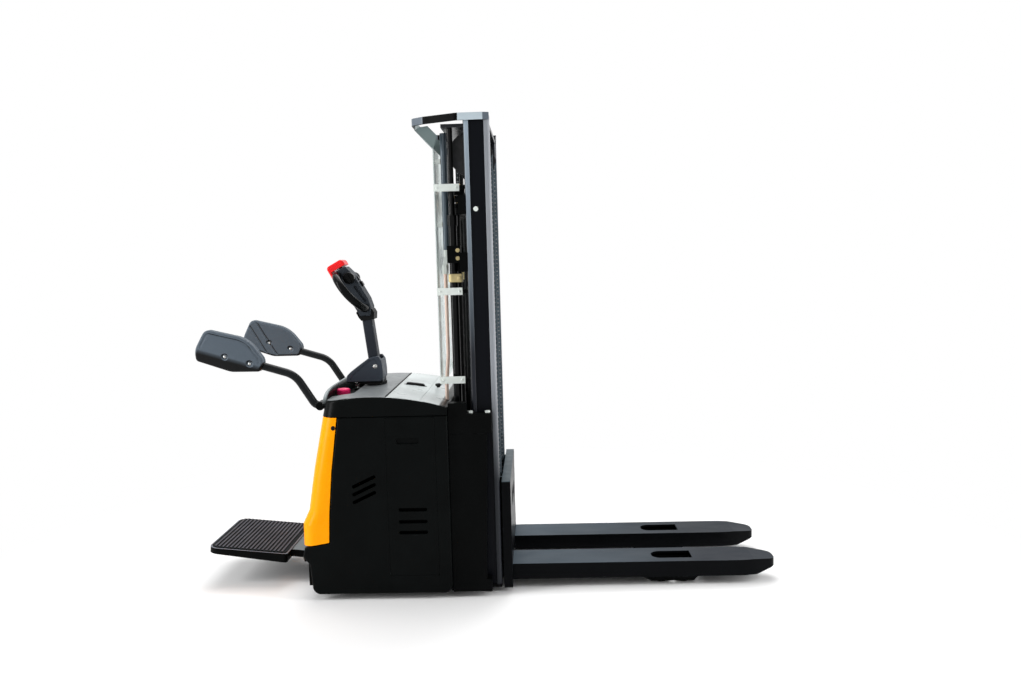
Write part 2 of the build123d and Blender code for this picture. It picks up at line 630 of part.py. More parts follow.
def mast_bolts():
    """Bolts on the tower blocks and on the webs of the outer mast."""
    bolts = []
    block_top = TOWER_TOP + TOWER_BLOCK
    for x in (X_MAST_REAR - 3, X_MAST_FRONT - 40):
        hex_head = extrude(Pos(x, OUTER_Y + 24, block_top) * RegularPolygon(11, 6), amount=9)
        bolts += [hex_head, other(hex_head)]
    web = drum(X_MAST - 10, BAR_BOTTOMS[2] + 20, 10, OUTER_Y - OUTER_GROOVE, OUTER_Y + 3)
    return Compound(bolts + [web, other(web)])


def hydraulic_hose():
    narrow = NUT_RADIUS - 4
    nut_top = HOSE_JOINT + 40
    elbow_top = nut_top + 34
    pipe_foot = elbow_top + 30
    pipe_top = BEAM_BOTTOM - 12
    points = [(X_TANK, TANK_TOP), (X_TANK, HOSE_Z), (X_HOSE, HOSE_Z), (X_HOSE, COVER_TOP + 20),
              (X_RISER, COVER_TOP + 150), (X_RISER, HOSE_JOINT)]
    bends = [HOSE_BEND, HOSE_BEND, RISER_BEND, RISER_BEND]
    hose = swept(tube_path(points, HOSE_Y, bends), HOSE_RADIUS)
    nut = extrude(Pos(X_RISER, HOSE_Y, HOSE_JOINT) * RegularPolygon(NUT_RADIUS, 6), amount=40)
    elbow = side_slab(
        [(X_RISER - narrow, nut_top), (X_RISER + narrow, nut_top), (X_PIPE + narrow, elbow_top),
         (X_PIPE - narrow, elbow_top)],
        HOSE_Y - narrow, HOSE_Y + narrow,
    )
    top_nut = extrude(Pos(X_PIPE, HOSE_Y, elbow_top) * RegularPolygon(NUT_RADIUS, 6), amount=30)
    pipe = post(X_PIPE, HOSE_Y, PIPE_RADIUS, pipe_foot, pipe_top)
    clips = []
    for z in (pipe_foot + 100, GUARD_BEND - 60):
        clip = block(X_GUARD, X_PIPE - PIPE_RADIUS + 0.5, HOSE_Y - 9, HOSE_Y + 9, z, z + 20)
        clips.append(clip - post(X_PIPE, HOSE_Y, PIPE_RADIUS, z, z + 20))
    return Compound([hose, nut + elbow + top_nut, pipe] + clips)


# Carriage and forks


def carriage_frame():
    x0 = X_FORK - CARRIAGE_THICK
    frame = block(x0, X_FORK, -CARRIAGE_HALF, CARRIAGE_HALF, CARRIAGE_BOTTOM, CARRIAGE_TOP)
    frame = fillet(frame.edges().filter_by(Axis.X).group_by(Axis.Z)[-1], CARRIAGE_ROUND)
    notch = block(x0, X_FORK, LEG_Y - LEG_HALF - 18, LEG_Y + LEG_HALF + 12, 0, LEG_TOP + 6)
    frame -= both(notch)
    frame -= block(x0, X_FORK, -LEG_Y + LEG_HALF + 8, LEG_Y - LEG_HALF - 8, 0, LEG_TOP + 6)
    window = block(x0, X_FORK, -WINDOW_HALF, WINDOW_HALF, *WINDOW)
    frame -= fillet(window.edges().filter_by(Axis.X), 15)
    cheek = block(X_MAST - 40, x0, SIDE_INNER, SIDE_OUTER, LEG_TOP + 16, SIDE_TOP)
    for z in CARRIAGE_ROLLERS:
        cheek += drum(X_MAST, z, STUB_RADIUS, SIDE_OUTER, CARRIAGE_ROLLER_Y[1])
    frame += both(cheek)
    frame += both(block(X_CHAIN_FRONT - 14, x0, CHAIN_Y - 13, CHAIN_Y + 13, LUG_BOTTOM, LUG_TOP))
    return frame


def fork():
    half = FORK_WIDTH / 2
    tip = X_FORK + FORK_LENGTH
    taper = tip - FORK_TAPER
    bottom = FORK_TOP - FORK_DEPTH
    plan = plan_slab(
        [(X_FORK, LEG_Y - half), (taper, LEG_Y - half), (tip, LEG_Y - half + 45), (tip, LEG_Y + half - 45),
         (taper, LEG_Y + half), (X_FORK, LEG_Y + half)],
        0, FORK_TOP,
    )
    plan = fillet(plan.edges().filter_by(Axis.Z).group_by(Axis.X)[-2], 300)
    plan = fillet(plan.edges().filter_by(Axis.Z).group_by(Axis.X)[-1], 40)
    side = side_slab(
        [(X_FORK, bottom), (tip - FORK_RAMP, bottom), (tip, bottom + 26), (tip, FORK_TOP - 10),
         (taper + 20, FORK_TOP), (X_FORK, FORK_TOP)],
        LEG_Y - half, LEG_Y + half,
    )
    shape = plan & side
    room = half - FORK_SKIN
    shape -= block(X_FORK, tip - FORK_NOSE, LEG_Y - room, LEG_Y + room, 0, FORK_TOP - FORK_SKIN)
    wheel_x = X_FORK + LOAD_STATION
    hole = block(wheel_x - 88, wheel_x + 88, LEG_Y - 45, LEG_Y + 45, FORK_TOP - 2 * FORK_SKIN, FORK_TOP + 10)
    hole = fillet(hole.edges().filter_by(Axis.Z).group_by(Axis.X)[0], 40)
    return shape - hole


def carriage_roller(z):
    return spool(X_MAST, z, INNER_DEPTH / 2 - INNER_FLANGE - 1, *CARRIAGE_ROLLER_Y, STUB_RADIUS)


# Drive unit, casters, battery and pump


def drive_unit():
    unit = post(X_STEER, 0, FLANGE_RADIUS, DECK_TOP + SEAT, DECK_TOP + 20)
    unit += post(X_STEER, 0, 95, DECK_TOP + 20, MOTOR_TOP - 20)
    unit += post(X_STEER, 0, 60, MOTOR_TOP - 20, MOTOR_TOP)
    leg = block(X_STEER - 55, X_STEER + 55, GEARBOX_NEAR, GEARBOX_FAR, DRIVE_RADIUS, DECK_TOP + SEAT)
    leg += drum(X_STEER, DRIVE_RADIUS, 55, GEARBOX_NEAR, GEARBOX_FAR)
    unit += leg
    return unit + drum(X_STEER, DRIVE_RADIUS, SHAFT_RADIUS, -DRIVE_HALF + 6, GEARBOX_NEAR)


def drive_wheel():
    wheel = drum(X_STEER, DRIVE_RADIUS, DRIVE_RADIUS, -DRIVE_HALF, DRIVE_HALF)
    wheel = fillet(wheel.edges().filter_by(GeomType.CIRCLE), 6)
    wheel -= drum(X_STEER, DRIVE_RADIUS, 78, -DRIVE_HALF, -DRIVE_HALF + 10)
    return wheel - drum(X_STEER, DRIVE_RADIUS, SHAFT_RADIUS + RUN, -DRIVE_HALF, DRIVE_HALF)


def caster_fork():
    x = X_STEER - CASTER_TRAIL
    top = CASTER_TOP - SEAT
    body = post(X_STEER, CASTER_Y, 40, top - 10, top)
    body += post(X_STEER, CASTER_Y, PIN_RADIUS, top, CASTER_TOP + 30)
    for side in (-1, 1):
        y0, y1 = sorted((CASTER_Y + side * (CASTER_HALF + 3), CASTER_Y + side * (CASTER_HALF + 9)))
        cheek = [(X_STEER - 32, top - 10), (X_STEER + 28, top - 10), (x + 20, CASTER_RADIUS - 14)]
        body += side_slab(cheek + [(x - 20, CASTER_RADIUS - 14)], y0, y1)
    return body + drum(x, CASTER_RADIUS, PIN_RADIUS, CASTER_Y - CASTER_HALF - 3, CASTER_Y + CASTER_HALF + 3)


def caster_wheel():
    x = X_STEER - CASTER_TRAIL
    wheel = drum(x, CASTER_RADIUS, CASTER_RADIUS, CASTER_Y - CASTER_HALF, CASTER_Y + CASTER_HALF)
    wheel = fillet(wheel.edges().filter_by(GeomType.CIRCLE), 6)
    return wheel - drum(x, CASTER_RADIUS, PIN_RADIUS + RUN, CASTER_Y - CASTER_HALF, CASTER_Y + CASTER_HALF)


def battery_pack():
    pack = block(X_BULKHEAD + 10, X_WALL - WALL - 8, -FRAME_HALF + 45, FRAME_HALF - 45, 70, FRAME_TOP - 112)
    return fillet(pack.edges().filter_by(Axis.Z), 8)


def pump_unit():
    """Oil tank with a pump motor beside it, behind the bulkhead."""
    wall = X_BULKHEAD - WALL
    unit = block(wall - TANK_DEPTH, wall, -FRAME_HALF + 25, -FLANGE_RADIUS - 8, DECK_TOP, TANK_TOP)
    pump = DECK_TOP + PUMP_RISE
    unit += block(wall - PUMP_REACH, wall - TANK_DEPTH, HOSE_Y - 60, HOSE_Y - 15, pump, pump + PUMP_HEIGHT)
    return unit + post(wall - PUMP_REACH, HOSE_Y - 28, PUMP_RADIUS, DECK_TOP, PUMP_TOP)


# Covers


def cover_arc(x0, x1, drop):
    """Top line of the covers between two stations, lowered by a margin."""
    crown = (X_STEER + 70, COVER_TOP - drop)
    return ThreePointArc((x0, COVER_TOP - REAR_FALL - drop), crown, (x1, COVER_TOP - FRONT_FALL - drop))


def cover_z(x):
    """Height of the top line at a station."""
    arc = cover_arc(X_COVER_REAR + 15, X_COVER_FRONT, 0)
    return arc.arc_center.Y + math.sqrt(arc.radius**2 - (x - arc.arc_center.X) ** 2)


def cover_block(x0, x1, half, bottom, drop):
    """Solid under the crowned top line."""
    arc = Plane.XZ * cover_arc(X_COVER_REAR + 15, X_COVER_FRONT, drop)
    a, b = arc @ 0, arc @ 1
    line = Polyline((a.X, 0, a.Z), (X_COVER_REAR, 0, bottom), (b.X, 0, bottom), (b.X, 0, b.Z))
    face = make_face([arc.edge(), *line.edges()])
    solid = extrude(face, amount=half, both=True, dir=(0, 1, 0))
    return solid & block(x0, x1, -half, half, bottom, COVER_TOP + 10)


def corner_edges(shape):
    """Sloping edges at the two rear corners of a cover block."""
    slopes = [e for e in shape.edges() if abs(e.tangent_at(0).Y) < 0.1 and abs(e.tangent_at(0).Z) > 0.5]
    return [e for e in slopes if e.center().X < X_COVER_REAR + 40]


def console_floor():
    return cover_z(X_STOP) - CONSOLE_DEPTH


def console_block(margin, bottom):
    """Room of the recess behind the tiller, or its outside with a margin."""
    half = CONSOLE_HALF + margin
    room = block(X_CONSOLE[0] - margin, X_CONSOLE[1] + margin, -half, half, bottom, COVER_TOP + 20)
    return fillet(room.edges().filter_by(Axis.Z), 12 + margin)


def top_cover():
    cover = cover_block(X_COVER_REAR - 1, X_COVER_FRONT, HALF - 1, FRAME_TOP, 0)
    cover = fillet(corner_edges(cover), CORNER - 1)
    top = cover.faces().sort_by(Axis.Z)[-1]
    cover = fillet([e for e in top.edges() if e.center().X < X_COVER_FRONT - 1], COVER_ROUND)
    rear_room = cover_block(X_COVER_REAR + 12, X_LID_REAR - LID_LEDGE - 4, HALF - 24, FRAME_TOP, TOP_SKIN)
    rear_room = fillet(corner_edges(rear_room), CORNER - 24)
    front_room = cover_block(X_LID_FRONT + LID_LEDGE + 4, X_COVER_FRONT - 6, HALF - 24, FRAME_TOP, TOP_SKIN)
    cover -= rear_room
    cover -= front_room
    floor = console_floor()
    inside = cover_block(X_COVER_REAR, X_COVER_FRONT, HALF, FRAME_TOP, 1)
    cover += console_block(TOP_SKIN, floor - TOP_SKIN) & inside
    cover -= console_block(0, floor)
    cover += post(X_STOP, STOP_Y, STOP_RADIUS - 8, floor, floor + STOP_COLLAR)
    cover += post(X_STOP, -STOP_Y, KEY_STEM + 11, floor, floor + KEY_COLLAR)
    x0, x1, y1 = X_LID_REAR, X_LID_FRONT, LID_HALF
    inset = LID_LEDGE
    cover -= block(x0 + inset, x1 - inset, -y1 + inset, y1 - inset, FRAME_TOP, COVER_TOP + 10)
    lid_seat = cover_block(x0, x1, y1, FRAME_TOP, 0) - cover_block(x0, x1, y1, FRAME_TOP, LID_DEPTH)
    cover -= lid_seat
    pocket_y = (POST_Y[0] - 4, POST_Y[1] + 4)
    pocket = block(X_COVER_REAR - 30, X_ARM + 40, *pocket_y, FRAME_TOP, ARM_Z + HUB_RADIUS + 3)
    cover -= both(pocket)
    cover -= post(X_STEER, 0, COLUMN_RADIUS + 14, FRAME_TOP, COVER_TOP + 10)
    cover -= post(X_STOP, STOP_Y, STOP_STEM + RUN, FRAME_TOP, COVER_TOP)
    cover -= post(X_STOP, -STOP_Y, KEY_STEM + RUN, FRAME_TOP, COVER_TOP)
    return cover - post(X_HOSE, HOSE_Y, HOSE_RADIUS + 2, FRAME_TOP, COVER_TOP)


def battery_lid():
    gap = SEAM / 2
    x0, x1, half = X_LID_REAR + gap, X_LID_FRONT - gap, LID_HALF - gap
    lid = cover_block(x0, x1, half, FRAME_TOP, 0) - cover_block(x0, x1, half, FRAME_TOP, LID_DEPTH - SEAT)
    lid -= block(x0 - 1, x1 + 1, -half, half, FRAME_TOP - 1, FRAME_TOP + 1)
    middle = (X_LID_REAR + X_LID_FRONT) / 2
    slot = block(middle - 53, middle + 53, -17, 17, FRAME_TOP, COVER_TOP + 10)
    return lid - fillet(slot.edges().filter_by(Axis.Z), 16)


def slot_cut(x, z, length, height, angle, y0, y1):
    """Rounded slot through a side cover."""
    sketch = Plane.XZ * (Pos(x, z) * Rot(0, 0, angle) * SlotOverall(length, height))
    return Pos(0, y1, 0) * extrude(sketch, amount=y1 - y0, dir=(0, -1, 0))


def side_panel():
    bottom = BASE_BOTTOM
    top = FRAME_TOP - SEAM
    front = X_WALL - SEAM
    edge = [(X_ARM + TOP_WRAP + SEAM, top), (X_ARM + SHOULDER_WRAP + SEAM, REAR_SHOULDER),
            (X_ARM + WAIST_WRAP + SEAM, REAR_WAIST),
            (X_ARM + FOOT_WRAP + 2 * SEAM, REAR_FOOT + FOOT_RISE - SEAM)]
    heel = [(X_REAR - 18, REAR_FOOT - SEAM), (X_REAR - 26, 195), (X_REAR + 2, 158), (X_REAR + 12, bottom)]
    outline = [(front, bottom), (front, top), *edge, *heel]
    panel = side_slab(outline, FRAME_HALF, HALF)
    low = panel.edges().filter_by(Axis.Y).group_by(Axis.Z)[0]
    panel = fillet(low, 35)
    panel = fillet(panel.faces().sort_by(Axis.Y)[-1].edges(), 9)
    rim = 16
    inside = [(front - rim, bottom + rim), (front - rim, top - rim), (edge[0][0] + rim, top - rim),
              *[(x + rim, z) for x, z in edge[1:3]], (edge[3][0] + rim, edge[3][1] - rim), (X_REAR + 30, 205),
              (X_REAR + 34, bottom + rim)]
    panel -= side_slab(inside, FRAME_HALF, HALF - SKIN)
    ledge = 14
    panel -= block(DOOR_REAR, DOOR_FRONT, HALF - DOOR_THICK, HALF, DOOR_BOTTOM, DOOR_TOP)
    seat = HALF - DOOR_THICK - SEAT
    frame = block(DOOR_REAR - 8, DOOR_FRONT + 8, FRAME_HALF, HALF - SKIN, DOOR_BOTTOM - 8, top - rim)
    frame -= block(DOOR_REAR, DOOR_FRONT, seat, HALF, DOOR_BOTTOM, DOOR_TOP)
    frame -= block(DOOR_REAR + ledge, DOOR_FRONT - ledge, 0, HALF, DOOR_BOTTOM + ledge, DOOR_TOP - 2 * ledge)
    panel += frame
    for i in range(3):
        panel -= slot_cut(X_STEER + 11, 520 - 34 * i, 112, 15, 25, HALF - 2 * SKIN, HALF)
    return panel


def side_door():
    gap = SEAM / 2
    back = HALF - DOOR_THICK
    door = block(DOOR_REAR + gap, DOOR_FRONT - gap, back, HALF, DOOR_BOTTOM + gap, DOOR_TOP - gap)
    door = fillet(door.edges().filter_by(Axis.Y), 6)
    middle = (DOOR_REAR + DOOR_FRONT) / 2
    door -= slot_cut(middle - 12, DOOR_TOP - 100, 100, 26, 0, back + 3, HALF)
    for z in (395, 343, 296):
        door -= slot_cut(middle, z, 124, 16, 0, back, HALF)
    return door


def rear_section(z, rear, front, half, corner):
    """Plan shape of the rear cover at one height."""
    sketch = Pos((rear + front) / 2, 0, z) * Rectangle(front - rear, 2 * half)
    return fillet(sketch.vertices().group_by(Axis.X)[0], corner)


def rear_panel():
    levels = [
        (REAR_FOOT, FOOT_REACH, FOOT_WRAP), (REAR_BELLY, BELLY_REACH, BELLY_WRAP),
        (REAR_WAIST, WAIST_REACH, WAIST_WRAP), (REAR_SHOULDER, SHOULDER_REACH, SHOULDER_WRAP),
        (FRAME_TOP - SEAM, TOP_REACH, TOP_WRAP),
    ]
    outer, inner = [], []
    for z, reach, wrap in levels:
        rear, front = X_ARM - reach, X_ARM + wrap
        outer.append(rear_section(z, rear, front, HALF, CORNER))
        inner.append(rear_section(z, rear + SKIN, front + 5 * SKIN, HALF - SKIN, CORNER - SKIN))
    shell = loft(outer, ruled=True) - loft(inner, ruled=True)
    rear, front = X_ARM - FOOT_REACH - 1, X_ARM + FOOT_WRAP + 8
    below = REAR_FOOT - 1
    foot = [(rear, below), (rear, REAR_FOOT), (front, REAR_FOOT + FOOT_RISE), (front, below)]
    return shell - side_slab(foot, -HALF, HALF)


def stop_button():
    seat = console_floor() + STOP_COLLAR + STOP_TRAVEL + 2
    button = post(X_STOP, STOP_Y, STOP_RADIUS, seat, seat + STOP_HEIGHT)
    button = fillet(button.edges().group_by(Axis.Z)[-1], 8)
    return button + post(X_STOP, STOP_Y, STOP_STEM, seat - 45, seat)


def ignition_key():
    seat = console_floor() + KEY_COLLAR + 4
    key = post(X_STOP, -STOP_Y, KEY_STEM, seat - 30, seat)
    return key + block(X_STOP - 12, X_STOP + 12, -STOP_Y - 2, -STOP_Y + 2, seat, seat + 24)


# Tiller


def tiller_base():
    base = post(X_STEER, 0, COLUMN_RADIUS, MOTOR_TOP, COVER_TOP + 4)
    base += post(X_STEER, 0, 58, COVER_TOP + 4, COVER_TOP + 14)
    x, z = TILLER_X, TILLER_Z
    shroud = side_slab(
        [(x - 129, z - 72), (x - 123, z - 40), (x - 104, z - 22), (x - 68, z + 5), (x - 21, z + 38),
         (x + 6, z + 45), (x + 25, z + 46), (x + 38, z + 26), (x + 43, z - 18), (x + 43, z - 54),
         (x + 30, z - 72)],
        -CHEEK_HALF, CHEEK_HALF,
    )
    shroud = fillet(shroud.edges().filter_by(Axis.Y), 8)
    shroud = fillet(rim_edges(shroud), 4)
    shroud -= block(x - 200, x + 34, -ARM_HALF - 2, ARM_HALF + 2, z - 42, z + 100)
    panel = side_slab(
        [(x - 110, z - 62), (x - 102, z - 42), (x - 47, z + 5), (x - 13, z + 30), (x + 10, z + 34),
         (x + 20, z + 18), (x + 25, z - 20), (x + 25, z - 62)],
        CHEEK_HALF - 2, CHEEK_HALF,
    )
    shroud -= both(fillet(panel.edges().filter_by(Axis.Y), 6))
    shroud += drum(x, z, HINGE_RADIUS, -ARM_HALF - 2, ARM_HALF + 2)
    return base + block(X_STEER - 70, X_STEER + 46, -50, 50, COVER_TOP + 8, z - 60) + shroud


def at_tiller(shape):
    """Place a shape drawn upright on the tilt pivot."""
    return Pos(TILLER_X, 0, TILLER_Z) * Rot(0, -TILLER_LEAN, 0) * shape


def tiller_arm():
    arm = block(-23, 23, -ARM_HALF, ARM_HALF, 0, ARM_TUBE_LENGTH)
    arm = fillet(arm.edges().filter_by(Axis.Z), 8)
    arm += drum(0, 0, 30, -ARM_HALF, ARM_HALF)
    arm -= block(-17, 17, -ARM_HALF + 6, ARM_HALF - 6, 36, ARM_TUBE_LENGTH - 10)
    return at_tiller(arm - drum(0, 0, HINGE_RADIUS + RUN, -ARM_HALF, ARM_HALF))


def at_head(shape):
    """Place a shape drawn upright at the foot of the head; its own +X faces the mast."""
    foot = Pos(TILLER_X, 0, TILLER_Z) * Rot(0, -TILLER_LEAN, 0) * Pos(0, 0, ARM_TUBE_LENGTH)
    return foot * Rot(0, TILLER_LEAN - HEAD_LEAN, 0) * shape


def tiller_head():
    outline = [(-14, 30), (30, 8), (50, 44), (FACE_N, 84), (FACE_N, HEAD_TOP - 56), (42, HEAD_TOP),
               (-8, HEAD_TOP), (-18, 200), (-16, 60)]
    head = side_slab(outline, -HEAD_HALF, HEAD_HALF)
    head = fillet(head.edges().filter_by(Axis.Y), 7)
    head = fillet(rim_edges(head), 5)
    collar = side_slab([(-25, 54), (-26, 26), (-17, -20), (27, -20), (48, 12), (48, 34), (-14, 58)], -40, 40)
    collar = fillet(collar.edges().filter_by(Axis.Y), 6)
    head += collar - Rot(0, HEAD_LEAN - TILLER_LEAN, 0) * block(-60, 60, -60, 60, -60, 0)
    slot = Plane.XZ * (Pos(FACE_N - 19, HEAD_TOP / 2 - 13) * Rot(0, 0, 96) * SlotOverall(90, 14))
    head -= both(Pos(0, HEAD_HALF, 0) * extrude(slot, amount=6, dir=(0, -1, 0)))
    t, n = ROCKER
    head -= block(n - 4, FACE_N + 5, -15, 15, t - 14, t + 14)
    head -= drum(n + 4, t, 2.5 + RUN, -18.3, 18.3)
    head -= Pos(FACE_N, 0, HORN) * Rot(0, 90, 0) * Cylinder(11, 16)
    head -= Pos(FACE_N - 20, 0, HORN) * Rot(0, 90, 0) * Cylinder(4 + RUN, 30)
    t, n = THROTTLE
    head -= drum(n, t, 6 + RUN, -HEAD_HALF, HEAD_HALF)
    head -= Pos(14, 0, HEAD_TOP) * Cylinder(8 + RUN, 70)
    return at_head(head)


def tiller_handle():
    low = [(26, 46, 50), (24, 92, 58), (17, 126, 88)]
    high = [(4, 134, 138), (-3, 130, 188), (-8, 100, 226), (-8, 46, 240)]
    bar = swept(Spline(*low, *high), GRIP_RADIUS)
    return at_head(bar - block(-40, 80, -HEAD_HALF, HEAD_HALF, 0, HEAD_TOP + 5))


def throttle_lever():
    t, n = THROTTLE
    lever = drum(n, t, 6, -HEAD_HALF - 24, HEAD_HALF + 24)
    knob = drum(n, t, KNOB_RADIUS, HEAD_HALF + 2, HEAD_HALF + 24)
    knob = fillet(knob.edges().filter_by(GeomType.CIRCLE), 4)
    wing = block(n - 7, n + 7, HEAD_HALF + 20, HEAD_HALF + 32, t - KNOB_RADIUS + 6, t + KNOB_RADIUS - 6)
    return at_head(lever + both(knob + fillet(wing.edges().filter_by(Axis.Y), 5)))


def belly_button():
    gap = 6.5
    cap = block(-38, 47, -44, 44, HEAD_TOP + gap, HEAD_TOP + gap + 31)
    cap += block(-38, -24, -44, 44, HEAD_TOP - 22, HEAD_TOP + gap)
    cap = fillet(cap.edges().filter_by(Axis.Y).group_by(Axis.Z)[-1], 15)
    cap = fillet(cap.edges().filter_by(Axis.Z), 6)
    return at_head(cap + Pos(14, 0, HEAD_TOP - 8) * Cylinder(8, 40))


def lift_rocker():
    t, n = ROCKER
    rocker = block(n, FACE_N + 10, -13, 13, t - 11.5, t + 11.5)
    rocker = fillet(rocker.edges().filter_by(Axis.Y).group_by(Axis.X)[-1], 4)
    return at_head(rocker + drum(n + 4, t, 2.5, -18, 18))


def horn_button():
    button = Pos(FACE_N + 0.5, 0, HORN) * Rot(0, 90, 0) * Cylinder(10, 9)
    return at_head(button + Pos(FACE_N - 14, 0, HORN) * Rot(0, 90, 0) * Cylinder(4, 26))


# Platform and guard arms


def at_hinge(shape):
    """Place a shape drawn flat behind the platform hinge."""
    return Pos(X_HINGE, 0, HINGE_Z) * Rot(0, PLATFORM_TILT, 0) * shape


def tray_plan(margin, bottom, top, corner):
    half = PLATFORM_HALF - margin
    tray = block(-TRAY_REAR + margin, -TRAY_FRONT - margin, -half, half, bottom, top)
    tray = fillet(tray.edges().filter_by(Axis.Z).group_by(Axis.X)[0], corner)
    return fillet(tray.edges().filter_by(Axis.Z).group_by(Axis.X)[-1], 16)


def platform_frame():
    tray = tray_plan(0, TRAY_BOTTOM, TRAY_TOP, 45)
    slope = [(-TRAY_REAR, TRAY_BOTTOM), (-TRAY_REAR, TRAY_HEEL), (-TRAY_FRONT, TRAY_BOTTOM)]
    tray -= side_slab(slope, -PLATFORM_HALF, PLATFORM_HALF)
    neck_half = LUG_Y - 4
    tray += block(-TRAY_FRONT, 0, -neck_half, neck_half, TRAY_BOTTOM + 4, TRAY_TOP - 4)
    tray += drum(0, 0, HINGE_RADIUS + 4, -neck_half, neck_half)
    return at_hinge(tray + drum(0, 0, HINGE_RADIUS, -LUG_Y - 20, LUG_Y + 20))


def platform_mat():
    mat = tray_plan(8, TRAY_TOP, MAT_TOP, 38)
    inside = tray_plan(14, MAT_TOP, RIB_TOP, 32)
    count = int((TRAY_REAR - TRAY_FRONT - 34) / RIB_PITCH)
    first = -TRAY_FRONT - 24
    for i in range(count):
        x = first - i * RIB_PITCH
        mat += block(x - 8, x, -PLATFORM_HALF, PLATFORM_HALF, MAT_TOP, RIB_TOP) & inside
    return at_hinge(mat)


def guard_arm():
    x, z = X_PIVOT, ARM_Z
    points = [(x + dx, z + dz) for dx, dz in ((0, 0), ARM_ELBOW, ARM_BEND, ARM_END)]
    tube = swept(tube_path(points, ARM_Y, [ELBOW_ROUND, BEND_ROUND]), TUBE_RADIUS, wall=3)
    hub = drum(x, z, HUB_RADIUS, POST_Y[1] + SEAT, ARM_Y + 21 - SEAT)
    arm = tube + hub
    return arm - drum(x, z, ARM_PIN + RUN, POST_Y[1], ARM_Y + 21)


def along_arm(shape):
    """Place a shape drawn along X at the upper bend of the arm's tube."""
    run, rise = ARM_BEND[0] - ARM_END[0], ARM_END[1] - ARM_BEND[1]
    lean = math.degrees(math.atan2(rise, run))
    return Pos(X_PIVOT + ARM_BEND[0], ARM_Y, ARM_Z + ARM_BEND[1]) * Rot(0, lean, 0) * shape


def pad_crown():
    """Long bar with the pad's section: a ridge outside along the tube, and a slight crown inside."""
    low, high = -72, 125
    outer = ThreePointArc((0, PAD_OUT - 18, low), (0, PAD_OUT, 0), (0, PAD_OUT - PAD_FALL, high))
    inner = ThreePointArc((0, 6 - PAD_IN, high), (0, -PAD_IN, 20), (0, 6 - PAD_IN, low))
    sides = [Line(outer @ 1, inner @ 0), Line(inner @ 1, outer @ 0)]
    face = make_face([outer.edge(), sides[0].edge(), inner.edge(), sides[1].edge()])
    return along_arm(extrude(face, amount=PAD_FAR, dir=(-1, 0, 0)))


def arm_pad():
    x, z = X_PIVOT, ARM_Z
    rear, front = x - PAD_FAR, x - PAD_NEAR
    corners = [(rear + 1, z + 208), (rear, z + 254), (rear + 45, z + 344), (front - 70, z + 299),
               (front, z + 202), (front - 20, z + 156), (rear + 149, z + 156)]
    outline = Plane.XZ * FilletPolyline(*corners, radius=list(PAD_ROUNDS), close=True)
    face = Pos(0, ARM_Y + PAD_OUT + 5, 0) * make_face(outline)
    pad = extrude(face, amount=PAD_IN + PAD_OUT + 10, dir=(0, -1, 0))
    pad &= pad_crown()
    pad = fillet(rim_edges(pad), PAD_RIM)
    for station in (-342, -370, -398):
        channel = Rot(0, -47, 0) * Box(PAD_CHANNEL, 8, 400)
        pad -= along_arm(Pos(station, -PAD_IN, 40) * channel)
    axis = Line(*[(x + dx, z + dz) for dx, dz in (ARM_BEND, ARM_END)])
    return pad - swept(Pos(0, ARM_Y, 0) * (Plane.XZ * axis), TUBE_RADIUS + RUN)


def build():
    """All pieces by node name."""
    fork_left = fork()
    leg = support_leg()
    arm, pad = guard_arm(), arm_pad()
    panel, door = side_panel(), side_door()
    channel, rail = outer_channel(), inner_channel()
    swivel, roller = caster_fork(), caster_wheel()
    front_wheel, rear_wheel = load_wheel(LOAD_PITCH / 2), load_wheel(-LOAD_PITCH / 2)
    return {
        "chassis_frame": chassis_frame(),
        "support_legs": pair(leg),
        "load_wheel_left_front": front_wheel,
        "load_wheel_left_rear": rear_wheel,
        "load_wheel_right_front": other(front_wheel),
        "load_wheel_right_rear": other(rear_wheel),
        "outer_mast_left": channel,
        "outer_mast_right": other(channel),
        "mast_cross_members": mast_cross_members(),
        "inner_mast_left": rail,
        "inner_mast_right": other(rail),
        "inner_mast_beams": inner_mast_beams(),
        "outer_mast_rollers": pair(outer_mast_roller()),
        "inner_mast_rollers": pair(inner_mast_roller()),
        "chain_pulleys": pair(chain_pulley()),
        "chain_rear_runs": pair(chain_rear_run()),
        "chain_front_runs": pair(chain_run(X_CHAIN_FRONT, LUG_TOP, PULLEY_Z)),
        "chain_anchors": pair(chain_anchor()),
        "lift_cylinders": pair(lift_cylinder()),
        "piston_rods": pair(piston_rod()),
        "mast_guard": mast_guard(),
        "guard_brackets": guard_brackets(),
        "mast_bolts": mast_bolts(),
        "hydraulic_hose": hydraulic_hose(),
        "carriage_frame": carriage_frame(),
        "fork_left": fork_left,
        "fork_right": other(fork_left),
        "carriage_rollers_upper": pair(carriage_roller(CARRIAGE_ROLLERS[1])),
        "carriage_rollers_lower": pair(carriage_roller(CARRIAGE_ROLLERS[0])),
        "drive_unit": drive_unit(),
        "drive_wheel": drive_wheel(),
        "caster_fork_left": swivel,
        "caster_fork_right": other(swivel),
        "caster_wheel_left": roller,
        "caster_wheel_right": other(roller),
        "battery_pack": battery_pack(),
        "pump_unit": pump_unit(),
        "top_cover": top_cover(),
        "battery_lid": battery_lid(),
        "side_panel_left": panel,
        "side_panel_right": other(panel),
        "side_door_left": door,
        "side_door_right": other(door),
        "rear_panel": rear_panel(),
        "stop_button": stop_button(),
        "ignition_key": ignition_key(),
        "tiller_base": tiller_base(),
        "tiller_arm": tiller_arm(),
        "tiller_head": tiller_head(),
        "tiller_handles": pair(tiller_handle()),
        "throttle_lever": throttle_lever(),
        "belly_button": belly_button(),
        "lift_rocker": lift_rocker(),
        "horn_button": horn_button(),
        "platform_frame": platform_frame(),
        "platform_mat": platform_mat(),
        "guard_arm_left": arm,
        "guard_arm_right": other(arm),
        "arm_pad_left": pad,
        "arm_pad_right": other(pad),
    }


